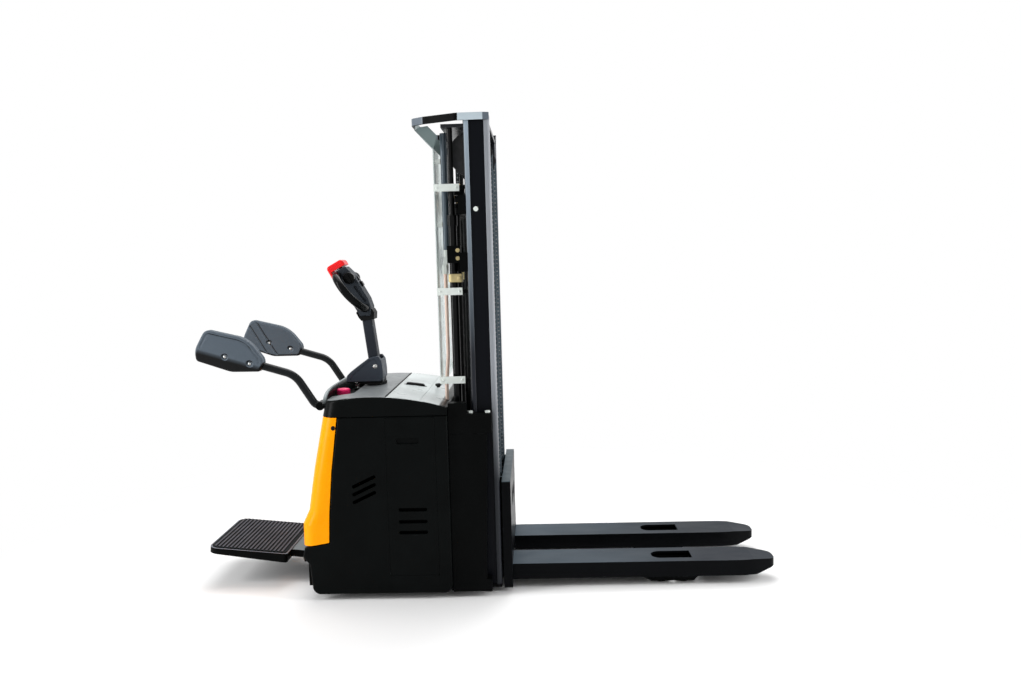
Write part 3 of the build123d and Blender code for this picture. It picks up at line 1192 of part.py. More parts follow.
def main():
    os.makedirs("parts", exist_ok=True)
    for name, shape in build().items():
        export_step(shape, f"parts/{name}.step")


if __name__ == "__main__":
    main()
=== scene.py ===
import bmesh
import bpy
import json
import math
from mathutils import Matrix, Vector
from mathutils.bvhtree import BVHTree


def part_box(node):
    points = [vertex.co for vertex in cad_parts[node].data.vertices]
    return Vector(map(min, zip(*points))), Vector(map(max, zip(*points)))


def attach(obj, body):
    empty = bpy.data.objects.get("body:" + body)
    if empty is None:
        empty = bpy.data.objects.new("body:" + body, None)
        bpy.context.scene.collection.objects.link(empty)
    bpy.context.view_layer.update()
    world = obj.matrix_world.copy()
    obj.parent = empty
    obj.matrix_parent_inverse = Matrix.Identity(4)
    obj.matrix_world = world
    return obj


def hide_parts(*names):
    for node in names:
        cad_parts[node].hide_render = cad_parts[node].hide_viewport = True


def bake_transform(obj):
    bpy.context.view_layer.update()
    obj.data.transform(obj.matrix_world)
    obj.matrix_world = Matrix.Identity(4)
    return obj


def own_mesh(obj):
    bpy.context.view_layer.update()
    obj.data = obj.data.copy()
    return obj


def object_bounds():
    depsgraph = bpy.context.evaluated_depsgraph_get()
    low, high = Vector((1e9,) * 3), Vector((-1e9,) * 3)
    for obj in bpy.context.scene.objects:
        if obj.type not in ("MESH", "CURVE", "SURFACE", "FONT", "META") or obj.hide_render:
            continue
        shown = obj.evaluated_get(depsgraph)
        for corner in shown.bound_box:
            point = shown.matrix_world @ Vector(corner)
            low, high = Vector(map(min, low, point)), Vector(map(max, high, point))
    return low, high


# Looks of a ride-on pallet stacker. Metres; X runs to the fork tips, Z up from the floor.

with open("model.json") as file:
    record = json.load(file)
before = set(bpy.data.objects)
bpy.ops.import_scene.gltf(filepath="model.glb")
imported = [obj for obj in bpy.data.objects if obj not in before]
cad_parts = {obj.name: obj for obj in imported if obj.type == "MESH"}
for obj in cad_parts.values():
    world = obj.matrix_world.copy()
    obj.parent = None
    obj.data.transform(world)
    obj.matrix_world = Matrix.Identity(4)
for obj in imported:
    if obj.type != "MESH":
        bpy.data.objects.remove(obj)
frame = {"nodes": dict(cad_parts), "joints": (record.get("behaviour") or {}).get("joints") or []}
cad_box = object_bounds()
nodes = frame["nodes"]
LIFT = {joint["name"]: joint["range_m"][1] for joint in frame["joints"] if joint["name"].endswith("_lift")}
SIDES = {"left": 1, "right": -1}
MM = 0.001
UP = (0, 0, 1)

# Camera of the photograph

CAMERA_PLACE = (0.2427, -3.9851, 1.4423)
CAMERA_YAW = 1.77
CAMERA_PITCH = -5.31
CAMERA_ROLL = 1.56
CAMERA_LENS = 30.48
CAMERA_SENSOR = 36


def add_camera():
    camera = bpy.data.objects.new("photo_camera", bpy.data.cameras.new("photo_camera"))
    camera.data.lens = CAMERA_LENS
    camera.data.sensor_width = CAMERA_SENSOR
    place = Matrix.Translation(CAMERA_PLACE)
    for angle, axis in ((CAMERA_YAW, "Z"), (CAMERA_PITCH, "X"), (CAMERA_ROLL, "Y"), (90, "X")):
        place @= Matrix.Rotation(math.radians(angle), 4, axis)
    camera.matrix_world = place
    bpy.context.scene.collection.objects.link(camera)
    bpy.context.scene.camera = camera


# Shader nodes


def feed(tree, node, inputs):
    """Sets each input of a node to a value, or links it to a socket."""
    for name, value in inputs.items():
        if isinstance(value, bpy.types.NodeSocket):
            tree.links.new(value, node.inputs[name])
        else:
            node.inputs[name].default_value = value
    return node


def shade(tree, kind, inputs, **settings):
    """New shader node with its settings and its inputs."""
    node = tree.nodes.new("ShaderNode" + kind)
    for name, value in settings.items():
        setattr(node, name, value)
    return feed(tree, node, inputs)


def along(tree, source, axis):
    """Place or normal of a point in its object's own space, along one axis."""
    place = shade(tree, "TexCoord", {}).outputs[source]
    return shade(tree, "SeparateXYZ", {0: place}).outputs[axis]


def noise(tree, scale, detail=3, stretch=(1, 1, 1)):
    """Noise in the object's own space, so that it stays put when the piece moves."""
    place = shade(tree, "TexCoord", {}).outputs["Object"]
    mapped = shade(tree, "Mapping", {"Vector": place, "Scale": stretch}).outputs["Vector"]
    return shade(tree, "TexNoise", {"Vector": mapped, "Scale": scale, "Detail": detail}).outputs["Fac"]


def spread(tree, value, low, high, start=0.3, end=0.7, **settings):
    """Turns a value between start and end, such as a noise, into one between low and high."""
    limits = {"From Min": start, "From Max": end, "To Min": low, "To Max": high}
    return shade(tree, "MapRange", {"Value": value, **limits}, **settings).outputs[0]


def reckon(tree, operation, first, second):
    return shade(tree, "Math", {0: first, 1: second}, operation=operation).outputs[0]


def mixed(tree, amount, first, second):
    """Colour between two, each a colour or a socket."""
    return shade(tree, "Mix", {"Factor": amount, 6: first, 7: second}, data_type="RGBA").outputs[2]


# Studio

ROOM = 40  # side of the floor
FLOOR_TONE = 0.9
FADE_START = 1.2  # the floor turns to plain white between these distances from the object
FADE_END = 2.6
WORLD_LIGHT = 0.34
LIGHTS = {
    # name: place, aim, width, height, power
    "top_box": ((-0.3, 0.9, 4.6), (0, 0, 0.8), 4.2, 3.2, 140),
    "left_strip": ((-3.4, -1.5, 1.7), (0, 0, 1.1), 0.7, 3.2, 110),
    "right_strip": ((3.6, -1.3, 1.7), (0, 0, 1.1), 0.7, 3.2, 110),
    "back_box": ((0.6, 3.0, 4.6), (0, 0, 0.8), 3.4, 2.0, 90),
}


def add_lights():
    for name, (place, aim, width, height, power) in LIGHTS.items():
        data = bpy.data.lights.new(name, "AREA")
        data.shape = "RECTANGLE"
        data.size = width
        data.size_y = height
        data.energy = power
        light = bpy.data.objects.new(name, data)
        light.location = place
        light.rotation_euler = (Vector(aim) - Vector(place)).to_track_quat("-Z", "Y").to_euler()
        bpy.context.scene.collection.objects.link(light)


def shown_white(tree):
    """1 for the rays that show the background: camera, glossy and transmission rays."""
    path = shade(tree, "LightPath", {})
    total = path.outputs["Is Camera Ray"]
    for kind in ("Is Glossy Ray", "Is Transmission Ray"):
        total = reckon(tree, "MAXIMUM", total, path.outputs[kind])
    return total


def add_world():
    world = bpy.data.worlds.new("studio")
    bpy.context.scene.world = world
    world.use_nodes = True
    tree = world.node_tree
    level = spread(tree, shown_white(tree), WORLD_LIGHT, 1, start=0, end=1)
    feed(tree, tree.nodes["Background"], {"Color": (1, 1, 1, 1), "Strength": level})


def floor_material():
    """Matt floor that takes shadows near the object and turns to plain white further off."""
    material = bpy.data.materials.new("studio_floor")
    material.use_nodes = True
    tree = material.node_tree
    tree.nodes.clear()
    matt = shade(tree, "BsdfDiffuse", {"Color": (FLOOR_TONE, FLOOR_TONE, FLOOR_TONE, 1)}).outputs[0]
    white = shade(tree, "Emission", {"Strength": 1}).outputs[0]
    place = shade(tree, "TexCoord", {}).outputs["Object"]
    distance = shade(tree, "VectorMath", {0: place}, operation="LENGTH").outputs["Value"]
    fade = spread(tree, distance, 0, 1, FADE_START, FADE_END, interpolation_type="SMOOTHSTEP")
    amount = reckon(tree, "MULTIPLY", fade, shown_white(tree))
    mix = shade(tree, "MixShader", {0: amount, 1: matt, 2: white}).outputs[0]
    shade(tree, "OutputMaterial", {"Surface": mix})
    return material


def add_floor():
    mesh = bpy.data.meshes.new("studio_floor")
    half = ROOM / 2
    corners = [(-half, -half, 0), (half, -half, 0), (half, half, 0), (-half, half, 0)]
    mesh.from_pydata(corners, [], [(0, 1, 2, 3)])
    mesh.materials.append(floor_material())
    floor = bpy.data.objects.new("studio_floor", mesh)
    bpy.context.scene.collection.objects.link(floor)


# Kinds of material

MATERIALS = {}


def linear(red, green, blue):
    """Colour written as 0 to 255 display values, in the linear values that shaders take."""
    def one(value):
        value /= 255
        return value / 12.92 if value <= 0.04045 else ((value + 0.055) / 1.055) ** 2.4
    return one(red), one(green), one(blue), 1


def scaled(colour, factor):
    return *(min(1, c * factor) for c in colour[:3]), 1


def edge_mask(tree, normal, scale):
    """1 along worn edges, broken up by noise."""
    flat = shade(tree, "NewGeometry", {}).outputs["Normal"]
    dot = shade(tree, "VectorMath", {0: normal, 1: flat}, operation="DOT_PRODUCT").outputs["Value"]
    edge = spread(tree, dot, 0, 1, start=0.99, end=0.9)
    patch = spread(tree, noise(tree, scale, detail=5), 0, 1, start=0.48, end=0.62)
    return reckon(tree, "MULTIPLY", edge, patch)


def new_material(name):
    """Material kept under its name; gives its node tree and its shader."""
    material = bpy.data.materials.new(name)
    material.use_nodes = True
    MATERIALS[name] = material
    return material.node_tree, material.node_tree.nodes["Principled BSDF"]


def finish(name, colour, rough, metal=0, specular=0.5, tone=0.12, blotch=9, rough_spread=0.06,
           grain=700, bump=0.1, depth=0.0003, stretch=(1, 1, 1), edge=0.0015, worn=None, wear=40):
    """Paint, plastic, rubber or metal with uneven tone and gloss, a fine grain and softened edges."""
    tree, shader = new_material(name)
    colour = linear(*colour)
    patches = spread(tree, noise(tree, blotch, 4, stretch), 0, 1)
    base = mixed(tree, patches, scaled(colour, 1 - tone), scaled(colour, 1 + tone))
    normal = shade(tree, "Bevel", {"Radius": edge}, samples=4).outputs["Normal"]
    if worn:
        base = mixed(tree, edge_mask(tree, normal, wear), base, linear(*worn))
    smudge = noise(tree, blotch * 3, 5, stretch)
    gloss = spread(tree, smudge, rough - rough_spread, rough + rough_spread)
    grains = noise(tree, grain, 2, stretch)
    relief = {"Strength": bump, "Distance": depth, "Height": grains, "Normal": normal}
    feed(tree, shader, {"Metallic": metal, "Specular IOR Level": specular, "Base Color": base,
                        "Roughness": gloss, "Normal": shade(tree, "Bump", relief).outputs["Normal"]})
    return tree, shader


def turn_colour(tree, shader, amount, second):
    """Turns a finish's own colour into a second one."""
    first = shader.inputs["Base Color"].links[0].from_socket
    feed(tree, shader, {"Base Color": mixed(tree, amount, first, linear(*second))})


def faded(name, first, second, axis, start, end, **settings):
    """Finish that turns from one colour to another along an axis, such as a painted highlight that fades out
    down a rail.
    """
    tree, shader = finish(name, first, **settings)
    turn_colour(tree, shader, spread(tree, along(tree, "Object", axis), 0, 1, start, end), second)


def painted_top_light(name, low, high, start, end, **settings):
    """Finish that turns from one colour to another where it faces up: painted light from above."""
    tree, shader = finish(name, low, **settings)
    turn_colour(tree, shader, spread(tree, along(tree, "Normal", "Z"), 0, 1, start, end), high)


def plastic_sheet(name, colour):
    """Clear plastic sheet with faint dust, plainer to see at a shallow angle."""
    tree, shader = new_material(name)
    colour = linear(*colour)
    dust = spread(tree, noise(tree, 6, detail=5), 0, 1)
    tint = mixed(tree, dust, scaled(colour, 0.94), scaled(colour, 1.06))
    gloss = spread(tree, noise(tree, 14, detail=4), low=0.22, high=0.34)
    slant = shade(tree, "LayerWeight", {"Blend": 0.5}).outputs["Facing"]
    opacity = spread(tree, slant, low=0.2, high=0.97, start=0.2, end=0.9)
    feed(tree, shader, {"Specular IOR Level": 0.05, "Base Color": tint, "Roughness": gloss, "Alpha": opacity})


# Finishes of the covers

COVER_BLACK = (7, 9, 9)
# grey of the battery lid, painted paler for the sheen of the top light
LID_SHEEN_GREY = (186, 192, 192)
LEDGE_DEPTH = 30 * MM  # black ledge along the front of the top cover
LEDGE_BLUR = 6 * MM
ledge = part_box("top_cover")[1].x - LEDGE_DEPTH

finish("black_cover", COVER_BLACK, 0.34, specular=0.04, tone=0.2, grain=1500, bump=0.25)
# painted sheen: the black dash's top faces painted grey where the top light falls on them
finish("dash_grey", (112, 116, 118), 0.36, specular=0.2, tone=0.08, grain=1400, bump=0.3)
finish("yellow_cover", (255, 156, 0), 0.3, specular=0.06, tone=0.03, grain=260, bump=0.05)
# grey lid with a painted sheen of the top light in its colour
finish("grey_lid", LID_SHEEN_GREY, 0.32, specular=0.2, blotch=5, grain=900, bump=0.35)
# painted sheen of the top light on the black front cover's top, turning back to black at its ledge
faded("front_grey", LID_SHEEN_GREY, COVER_BLACK, "X", ledge - LEDGE_BLUR, ledge, rough=0.32, specular=0.2,
      blotch=5, grain=900, bump=0.35)
# painted light: the black lip's upward faces painted grey
painted_top_light("lip_cover", COVER_BLACK, (156, 164, 166), 0.3, 0.9, rough=0.36, specular=0.1, grain=1400,
          bump=0.3)

# Finishes of the frame, the mast and the forks

finish("black_steel", (6, 7, 7), 0.38, specular=0.03, tone=0.2, grain=420, worn=(34, 36, 38))
finish("rail_steel", (19, 22, 28), 0.3, specular=0.3, tone=0.15, grain=380, bump=0.06,
       stretch=(1, 1, 0.15), edge=0.002, worn=(86, 90, 96))
# painted shade: the recessed web between a rail's strips, darker than the rest of the rail's black steel
finish("rail_web", (9, 11, 16), 0.34, specular=0.06, tone=0.15, grain=380, bump=0.06, stretch=(1, 1, 0.15))
# painted highlights of the side lamps on the rails' raised strips and front edges, dark lower down as painted
# shade
highlight_strip = dict(rough=0.34, specular=0.2, tone=0.1, grain=380, bump=0.05, stretch=(1, 1, 0.1), edge=0.003)
faded("rail_front", (28, 31, 36), (140, 144, 150), "Z", 0.5, 1.0, **highlight_strip)
faded("rail_rear", (24, 27, 34), (152, 166, 178), "Z", 1.05, 2.0, **highlight_strip)
finish("fork_paint", (6, 7, 9), 0.34, specular=0.04, tone=0.2, grain=420, bump=0.08, worn=(70, 74, 80),
       wear=60)
# painted sheen of the light on the forks' tops, fading towards the tips; the rubbed edges are real wear
faded("fork_top", (60, 71, 80), (30, 35, 42), "X", 0.25, 0.95, rough=0.4, specular=0.06, tone=0.25,
      blotch=5, grain=420, bump=0.08, stretch=(0.4, 1, 1), worn=(110, 114, 120), wear=60)
# painted sheen of the top light on the black carriage's upper edge
finish("carriage_edge", (70, 82, 88), 0.36, specular=0.08, tone=0.1, grain=420)
finish("bright_steel", (178, 178, 176), 0.25, metal=1, grain=300, bump=0.05)
finish("zinc_white", (222, 229, 224), 0.36, metal=0.25, tone=0.05, grain=500)
# painted reflections on the black steel ring round the mast's top: pale on its outer flats, grey on its
# corners, slate on its rear
finish("ring_pale", (186, 200, 208), 0.4, specular=0.4, tone=0.05, grain=420)
finish("ring_grey", (92, 102, 112), 0.4, specular=0.3, tone=0.08, grain=420)
finish("ring_slate", (72, 84, 90), 0.4, specular=0.3, tone=0.08, grain=420)
finish("rod_steel", (9, 10, 11), 0.2, specular=0.12, tone=0.05, rough_spread=0.03, bump=0.01)
finish("cylinder_black", (5, 6, 7), 0.17, specular=0.12, tone=0.1, bump=0.02)
finish("anchor_brass", (196, 160, 92), 0.34, metal=0.8, blotch=30)
finish("olive_zinc", (186, 170, 122), 0.42, metal=0.3, tone=0.2, blotch=24)
finish("chain_steel", (30, 31, 33), 0.34, metal=0.5, tone=0.3, blotch=60, edge=0.0006)
# front chains: the rear chains' steel, painted paler slate for the light on the mast's front
finish("chain_slate", (70, 82, 90), 0.38, metal=0.1, tone=0.3, blotch=60, edge=0.0006)
finish("pin_steel", (150, 152, 154), 0.3, metal=0.9, tone=0.1, blotch=60, edge=0.0006)
plastic_sheet("clear_sheet", (226, 236, 234))
plastic_sheet("lean_sheet", (116, 130, 130))
finish("smoke_plastic", (108, 122, 122), 0.34, specular=0.2, tone=0.08, grain=900)
finish("hose_rubber", (255, 222, 206), 0.5, tone=0.06, grain=600, bump=0.15)
finish("pipe_grey", (72, 86, 96), 0.3, metal=0.1, tone=0.08, stretch=(1, 1, 0.1))

# Finishes of the wheels and the battery

finish("wheel_pu", (26, 25, 24), 0.5, specular=0.1, tone=0.15, grain=300, bump=0.15)
finish("battery_case", (34, 38, 46), 0.42, tone=0.1, grain=900, bump=0.2)

# Finishes of the controls and the operator's place

finish("red_plastic", (240, 24, 28), 0.3, specular=0.3, tone=0.04, bump=0.05)
finish("stop_red", (255, 46, 116), 0.34, specular=0.2, tone=0.04, bump=0.05)
finish("grip_black", (7, 8, 9), 0.22, specular=0.08, tone=0.2, grain=800, bump=0.05)
finish("matt_black", (12, 13, 14), 0.5, specular=0.1, tone=0.2, grain=900, bump=0.2)
finish("housing_grey", (44, 49, 55), 0.5, specular=0.12, grain=1300, bump=0.12)
finish("tiller_grey", (30, 35, 43), 0.5, specular=0.2, grain=900, bump=0.2)
finish("shroud_slate", (48, 55, 65), 0.46, specular=0.25, grain=900, bump=0.15)
# painted light: the pads turn from black on their downward faces to grey on their upward faces
painted_top_light("pad_black", (6, 7, 8), (78, 87, 96), -0.16, 0.04, rough=0.46, specular=0.12, tone=0.1,
          grain=900, bump=0.3)
finish("mat_rubber", (10, 15, 17), 0.5, specular=0.04, tone=0.2, grain=500, bump=0.3)
finish("rib_rubber", (72, 72, 79), 0.5, specular=0.06, tone=0.2, grain=500, bump=0.3)
finish("rim_grey", (112, 115, 124), 0.42, specular=0.1, tone=0.1, grain=420)
finish("neck_slate", (108, 120, 126), 0.42, specular=0.1, tone=0.1, grain=420)
finish("tube_black", (13, 16, 18), 0.3, specular=0.14, tone=0.15, grain=420, bump=0.06)

# Main finish of the nodes, by the start of their names
NODE_FINISH = {
    "black_steel": "chassis_frame support_legs mast_cross_members drive_unit pump_unit platform_frame",
    "rail_steel": "outer_mast inner_mast",
    "bright_steel": "outer_mast_rollers inner_mast_rollers carriage_rollers ignition_key",
    "chain_steel": "chain_pulleys chain_rear_runs",
    # front chains, painted paler slate for the light on the mast's front
    "chain_slate": "chain_front_runs",
    "anchor_brass": "chain_anchors",
    "cylinder_black": "lift_cylinders",
    "rod_steel": "piston_rods",
    "clear_sheet": "mast_guard",
    "zinc_white": "guard_brackets mast_bolts caster_fork",
    "hose_rubber": "hydraulic_hose",
    "fork_paint": "carriage_frame fork",
    "wheel_pu": "drive_wheel caster_wheel load_wheel",
    "battery_case": "battery_pack",
    "black_cover": "top_cover side_panel side_door",
    # grey lid, painted paler as a sheen
    "grey_lid": "battery_lid",
    "yellow_cover": "rear_panel",
    "stop_red": "stop_button",
    "shroud_slate": "tiller_base",
    "tiller_grey": "tiller_arm",
    "housing_grey": "tiller_head",
    "grip_black": "tiller_handles throttle_lever lift_rocker horn_button",
    "red_plastic": "belly_button",
    "mat_rubber": "platform_mat",
    "tube_black": "guard_arm",
    # pads, with painted light on their upward faces
    "pad_black": "arm_pad",
}


def finish_of(node):
    """The finish with the longest name that the node's name starts with."""
    starts = [(start, name) for name, group in NODE_FINISH.items() for start in group.split()]
    return max((len(start), name) for start, name in starts if node.startswith(start))[1]


def paint(node, *names):
    slots = nodes[node].data.materials
    slots.clear()
    for name in names:
        slots.append(MATERIALS[name])


def paint_faces(node, *rules):
    """Gives the faces whose middle passes a test a finish of their own, later rules over earlier ones."""
    paint(node, finish_of(node), *(name for name, test in rules))
    for face in nodes[node].data.polygons:
        for slot, (name, test) in enumerate(rules, 1):
            if test(face.center, face.normal):
                face.material_index = slot


# Building blocks of the pieces

ROUND_STEPS = 24  # points along one rounded corner
DOME_WASHER = [(1.3, 0), (1.3, 0.2), (1.2, 0.28)]  # shares of a bolt's radius and height
DOME_HEAD = [(1, 0.2), (0.96, 0.5), (0.8, 0.82), (0.55, 1), (0.42, 1), (0.38, 0.55)]
HEX_WASHER = [(1.25, 0), (1.25, 0.22), (1.15, 0.3)]
HEX_HEAD = [(1, 0.25), (1, 0.88), (0.86, 1)]


def smooth(start, end, value):
    """0 before start and 1 after end, with an easy step between."""
    t = min(1, max(0, (value - start) / (end - start)))
    return t * t * (3 - 2 * t)


def stretched(pairs, first, second):
    """Pairs of numbers, the first of each times one factor and the second times another."""
    return [(a * first, b * second) for a, b in pairs]


def mirrored(half):
    """Whole section from its left half, each point a place across and a height."""
    return half + [(-across, height) for across, height in reversed(half)]


def rounded_outline(corners, rounds, count):
    """Evenly spaced points, with their inward normals, along a polygon with rounded corners."""
    path = []
    for i, corner in enumerate(corners):
        corner = Vector(corner)
        before = (Vector(corners[i - 1]) - corner).normalized()
        after = (Vector(corners[(i + 1) % len(corners)]) - corner).normalized()
        half = before.angle(after) / 2
        middle = corner + (before + after).normalized() * rounds[i] / math.sin(half)
        start = corner + before * rounds[i] / math.tan(half) - middle
        sweep = start.angle_signed(corner + after * rounds[i] / math.tan(half) - middle)
        for step in range(ROUND_STEPS + 1):
            spoke = start.copy()
            spoke.rotate(Matrix.Rotation(-sweep * step / ROUND_STEPS, 2))
            path.append(middle + spoke)
    lengths = [0]
    for a, b in zip(path, path[1:] + path[:1]):
        lengths.append(lengths[-1] + (b - a).length)
    points, k = [], 0
    for i in range(count):
        want = lengths[-1] * i / count
        while lengths[k + 1] < want:
            k += 1
        a, b = path[k], path[(k + 1) % len(path)]
        points.append(a.lerp(b, (want - lengths[k]) / (lengths[k + 1] - lengths[k])))
    normals = []
    for i in range(count):
        along = points[(i + 1) % count] - points[i - 1]
        normals.append(Vector((along.y, -along.x)).normalized())
    return points, normals


def skin(mesh, rings):
    """Faces through rings of points, the first and last ring filled."""
    loops = [[mesh.verts.new(point) for point in ring] for ring in rings]
    count = len(loops[0])
    for low, high in zip(loops, loops[1:]):
        for i in range(count):
            j = (i + 1) % count
            mesh.faces.new((low[i], low[j], high[j], high[i]))
    mesh.faces.new(loops[0][::-1])
    mesh.faces.new(loops[-1])


def turned(mesh, place, axis, profile, sides=32, lobes=0, lobe=0):
    """Turned shape from pairs of radius and height along an axis, with lobes round it if asked."""
    turn = Vector(UP).rotation_difference(Vector(axis)).to_matrix()
    angles = [2 * math.pi * i / sides for i in range(sides)]
    rings = []
    for radius, height in profile:
        ring = []
        for angle in angles:
            spoke = Vector((math.cos(angle), math.sin(angle), 0))
            reach = radius + lobe * math.cos(lobes * angle)
            ring.append(Vector(place) + turn @ (reach * spoke + Vector((0, 0, height))))
        rings.append(ring)
    skin(mesh, rings)


def dome_bolt(mesh, place, axis, radius, height):
    """Button-head bolt on a washer, with a socket in its head."""
    for profile in (DOME_WASHER, DOME_HEAD):
        turned(mesh, place, axis, stretched(profile, radius, height))


def hex_bolt(mesh, place, axis, radius, height):
    """Hexagon head on a washer."""
    turned(mesh, place, axis, stretched(HEX_WASHER, radius, height))
    turned(mesh, place, axis, stretched(HEX_HEAD, radius, height), sides=6)


def plate(mesh, outline, y0, y1):
    """Flat plate between two Y planes, from an outline of X and Z."""
    skin(mesh, [[(x, y, z) for x, z in outline] for y in (y0, y1)])


def upright(x0, x1, z, height):
    """Outline of an upright rectangle, as X and Z."""
    return [(x0, z), (x1, z), (x1, z + height), (x0, z + height)]


def piece(name, mesh, body, slot, *finishes, sharp=35):
    """Turns a built mesh into an object that rides on a body, or on none."""
    bmesh.ops.recalc_face_normals(mesh, faces=mesh.faces)
    data = bpy.data.meshes.new(name)
    mesh.to_mesh(data)
    mesh.free()
    for finish_name in finishes:
        data.materials.append(MATERIALS[finish_name])
    data.polygons.foreach_set("use_smooth", [True] * len(data.polygons))
    data.set_sharp_from_angle(angle=math.radians(sharp))
    made = bpy.data.objects.new(name, data)
    bpy.context.scene.collection.objects.link(made)
    if body:
        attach(made, body)
    return made


def loft(name, rings, body, slot, finish_name, sharp=35):
    """Piece of one skin through rings of points."""
    mesh = bmesh.new()
    skin(mesh, rings)
    return piece(name, mesh, body, slot, finish_name, sharp=sharp)


def side_bolts(name, node, back, down, sink, size, body, slot, finish_name):
    """A bolt on each side of a node, placed from the front and the top of its box."""
    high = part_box(node)[1]
    mesh = bmesh.new()
    for sign in SIDES.values():
        place = (high.x - back, sign * (high.y - sink), high.z - down)
        dome_bolt(mesh, place, (0, sign, 0), *size)
    piece(name, mesh, body, slot, finish_name)


# Lift chains

CHAIN_PITCH = 19 * MM
CHAIN_HALF = 9 * MM  # middle of a chain to its outer edge where it wraps the pulley
CHAIN_SIDE = 7 * MM  # middle of a chain to its outer side
PLATE_RADIUS = 8.5 * MM
PLATE_THICK = 2.6 * MM
PLATE_STEP = 2.75 * MM
PIN_RADIUS = 3.4 * MM
PIN_END = 1 * MM  # length of a pin that stands out of the plates
CHAIN_HEAD = 40 * MM  # depth of the anchor's head, in which the chain starts
SEARCH_STEPS = 40


def link_plate(mesh, a, b, y):
    """Chain plate with round ends between two pins, each an X and Z."""
    along = math.atan2(b[1] - a[1], b[0] - a[0])
    outline = []
    for centre, start in ((b, -90), (a, 90)):
        for turn in range(0, 181, 30):
            angle = along + math.radians(start + turn)
            x = centre[0] + PLATE_RADIUS * math.cos(angle)
            outline.append((x, centre[1] + PLATE_RADIUS * math.sin(angle)))
    plate(mesh, outline, y - PLATE_THICK / 2, y + PLATE_THICK / 2)


def chain_links(mesh, pins, y):
    """Leaf chain through a row of pins: three plates and two plates in turn."""
    for i, (a, b) in enumerate(zip(pins, pins[1:])):
        for layer in ((-2, 0, 2) if i % 2 == 0 else (-1, 1)):
            link_plate(mesh, a, b, y + layer * PLATE_STEP)
    reach = 2 * PLATE_STEP + PLATE_THICK / 2 + PIN_END
    plates = len(mesh.faces)
    for x, z in pins:
        turned(mesh, (x, y - reach, z), (0, 1, 0), [(PIN_RADIUS, 0), (PIN_RADIUS, 2 * reach)], sides=12)
    mesh.faces.ensure_lookup_table()
    for face in mesh.faces[plates:]:
        face.material_index = 1


def unlift(height, top, lift):
    """Height at rest of a chain point, from its height with the mast up; spare links wait in the head."""
    if height >= top + lift:
        return height - lift
    low, high = 0, 1
    for _ in range(SEARCH_STEPS):
        share = (low + high) / 2
        if top - CHAIN_HEAD + CHAIN_HEAD * share + lift * smooth(0, 1, share) < height:
            low = share
        else:
            high = share
    return top - CHAIN_HEAD + CHAIN_HEAD * low


def add_rear_chain(side, sign):
    """Chain from the anchor's head over the pulley, built at rest with the links for the mast's lift waiting
    in the head.
    """
    low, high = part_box("chain_rear_runs")
    hub_low, hub_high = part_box("chain_pulleys")
    x, z = (hub_low.x + hub_high.x) / 2, (hub_low.z + hub_high.z) / 2
    radius = high.z - z - CHAIN_HALF
    y = sign * (high.y - CHAIN_SIDE)
    top = low.z
    lift = LIFT["mast_lift"]
    wrap, run = math.pi * radius, z - top
    pins = []
    for i in range(int((wrap + run + lift) / CHAIN_PITCH) + 1):
        along = i * CHAIN_PITCH
        if along <= wrap:
            angle = along / radius
            pins.append((x + radius * math.cos(angle), z + lift + radius * math.sin(angle)))
        else:
            pins.append((x - radius, z + lift - (along - wrap)))
    mesh = bmesh.new()
    chain_links(mesh, pins, y)
    for vertex in mesh.verts:
        vertex.co.z = unlift(max(vertex.co.z, top - CHAIN_HEAD), top, lift)
    made = piece(f"rear_chain_{side}", mesh, None, "chain_steel", "chain_steel", "pin_steel")
    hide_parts("chain_rear_runs")
    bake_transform(made)


def add_front_chain(side, sign):
    """Chain from the pulley down to the carriage, in two pieces split at the height of the carriage's lift,
    the upper one with a mesh of its own.
    """
    low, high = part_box("chain_front_runs")
    x, y = (low.x + high.x) / 2, sign * (high.y - CHAIN_SIDE)
    count = int((high.z - low.z) / CHAIN_PITCH)
    pins = [(x, high.z - i * CHAIN_PITCH) for i in range(count + 1)]
    foot = high.z - LIFT["carriage_lift"]
    split = max(i for i, pin in enumerate(pins) if pin[1] >= foot)
    for name, row in (("front_chain", pins[:split + 1]), ("front_chain_end", pins[split:])):
        mesh = bmesh.new()
        chain_links(mesh, row, y)
        # plates painted paler slate for the light on the mast's front
        made = piece(f"{name}_{side}", mesh, "carriage", "chain_steel", "chain_slate", "pin_steel")
        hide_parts("chain_front_runs")
        if name == "front_chain":
            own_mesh(made)


# Guard pads: lists of places and stations are in millimetres

HUB_RADIUS = 19 * MM
PAD_CORNERS = [(-528, 208), (-529, 254), (-484, 344), (-300, 299), (-230, 202), (-250, 156), (-380, 156)]
PAD_ROUNDS = (16, 100, 30, 140, 40, 16, 100)
PAD_BEND = (-106, 135)  # upper bend and end of the arm's tube, from its pivot
PAD_END = (-414, 229)
PAD_IN = 20 * MM  # tube to the face towards the rider
PAD_OUT = 34 * MM  # tube to the crown outside
PAD_RIM = 9 * MM
PAD_FALL = (26 * MM, 18 * MM)  # drop of the outer face at its upper and lower edge
PAD_REACH = (125 * MM, 72 * MM)  # distance of those edges from the tube
PAD_CROWN = 1.6  # power of the fall: above 1, so that the crown stays flat
PAD_CHANNELS = (-346, -404)  # stations of the channels along the tube
CHANNEL_LEAN = math.radians(47)
CHANNEL_RISE = 40 * MM
CHANNEL_DEPTH = 3 * MM
CHANNEL_HALF = 3.2 * MM
CHANNEL_FADE = (4 * MM, 10 * MM)  # the channels run out between these distances from the edge
RIDGE_LINE = 16 * MM  # groove on the outer face, in from its upper edge
RIDGE_DEPTH = 2.4 * MM
RIDGE_HALF = 2.2 * MM
RIDGE_FADE = 25 * MM  # the groove reaches its depth this far above the tube
PAD_BOLTS = (-305, -195)  # stations of the two bolts
PAD_BOLT = (4.8 * MM, 4 * MM)  # radius and height
PAD_BOLT_SINK = 3 * MM
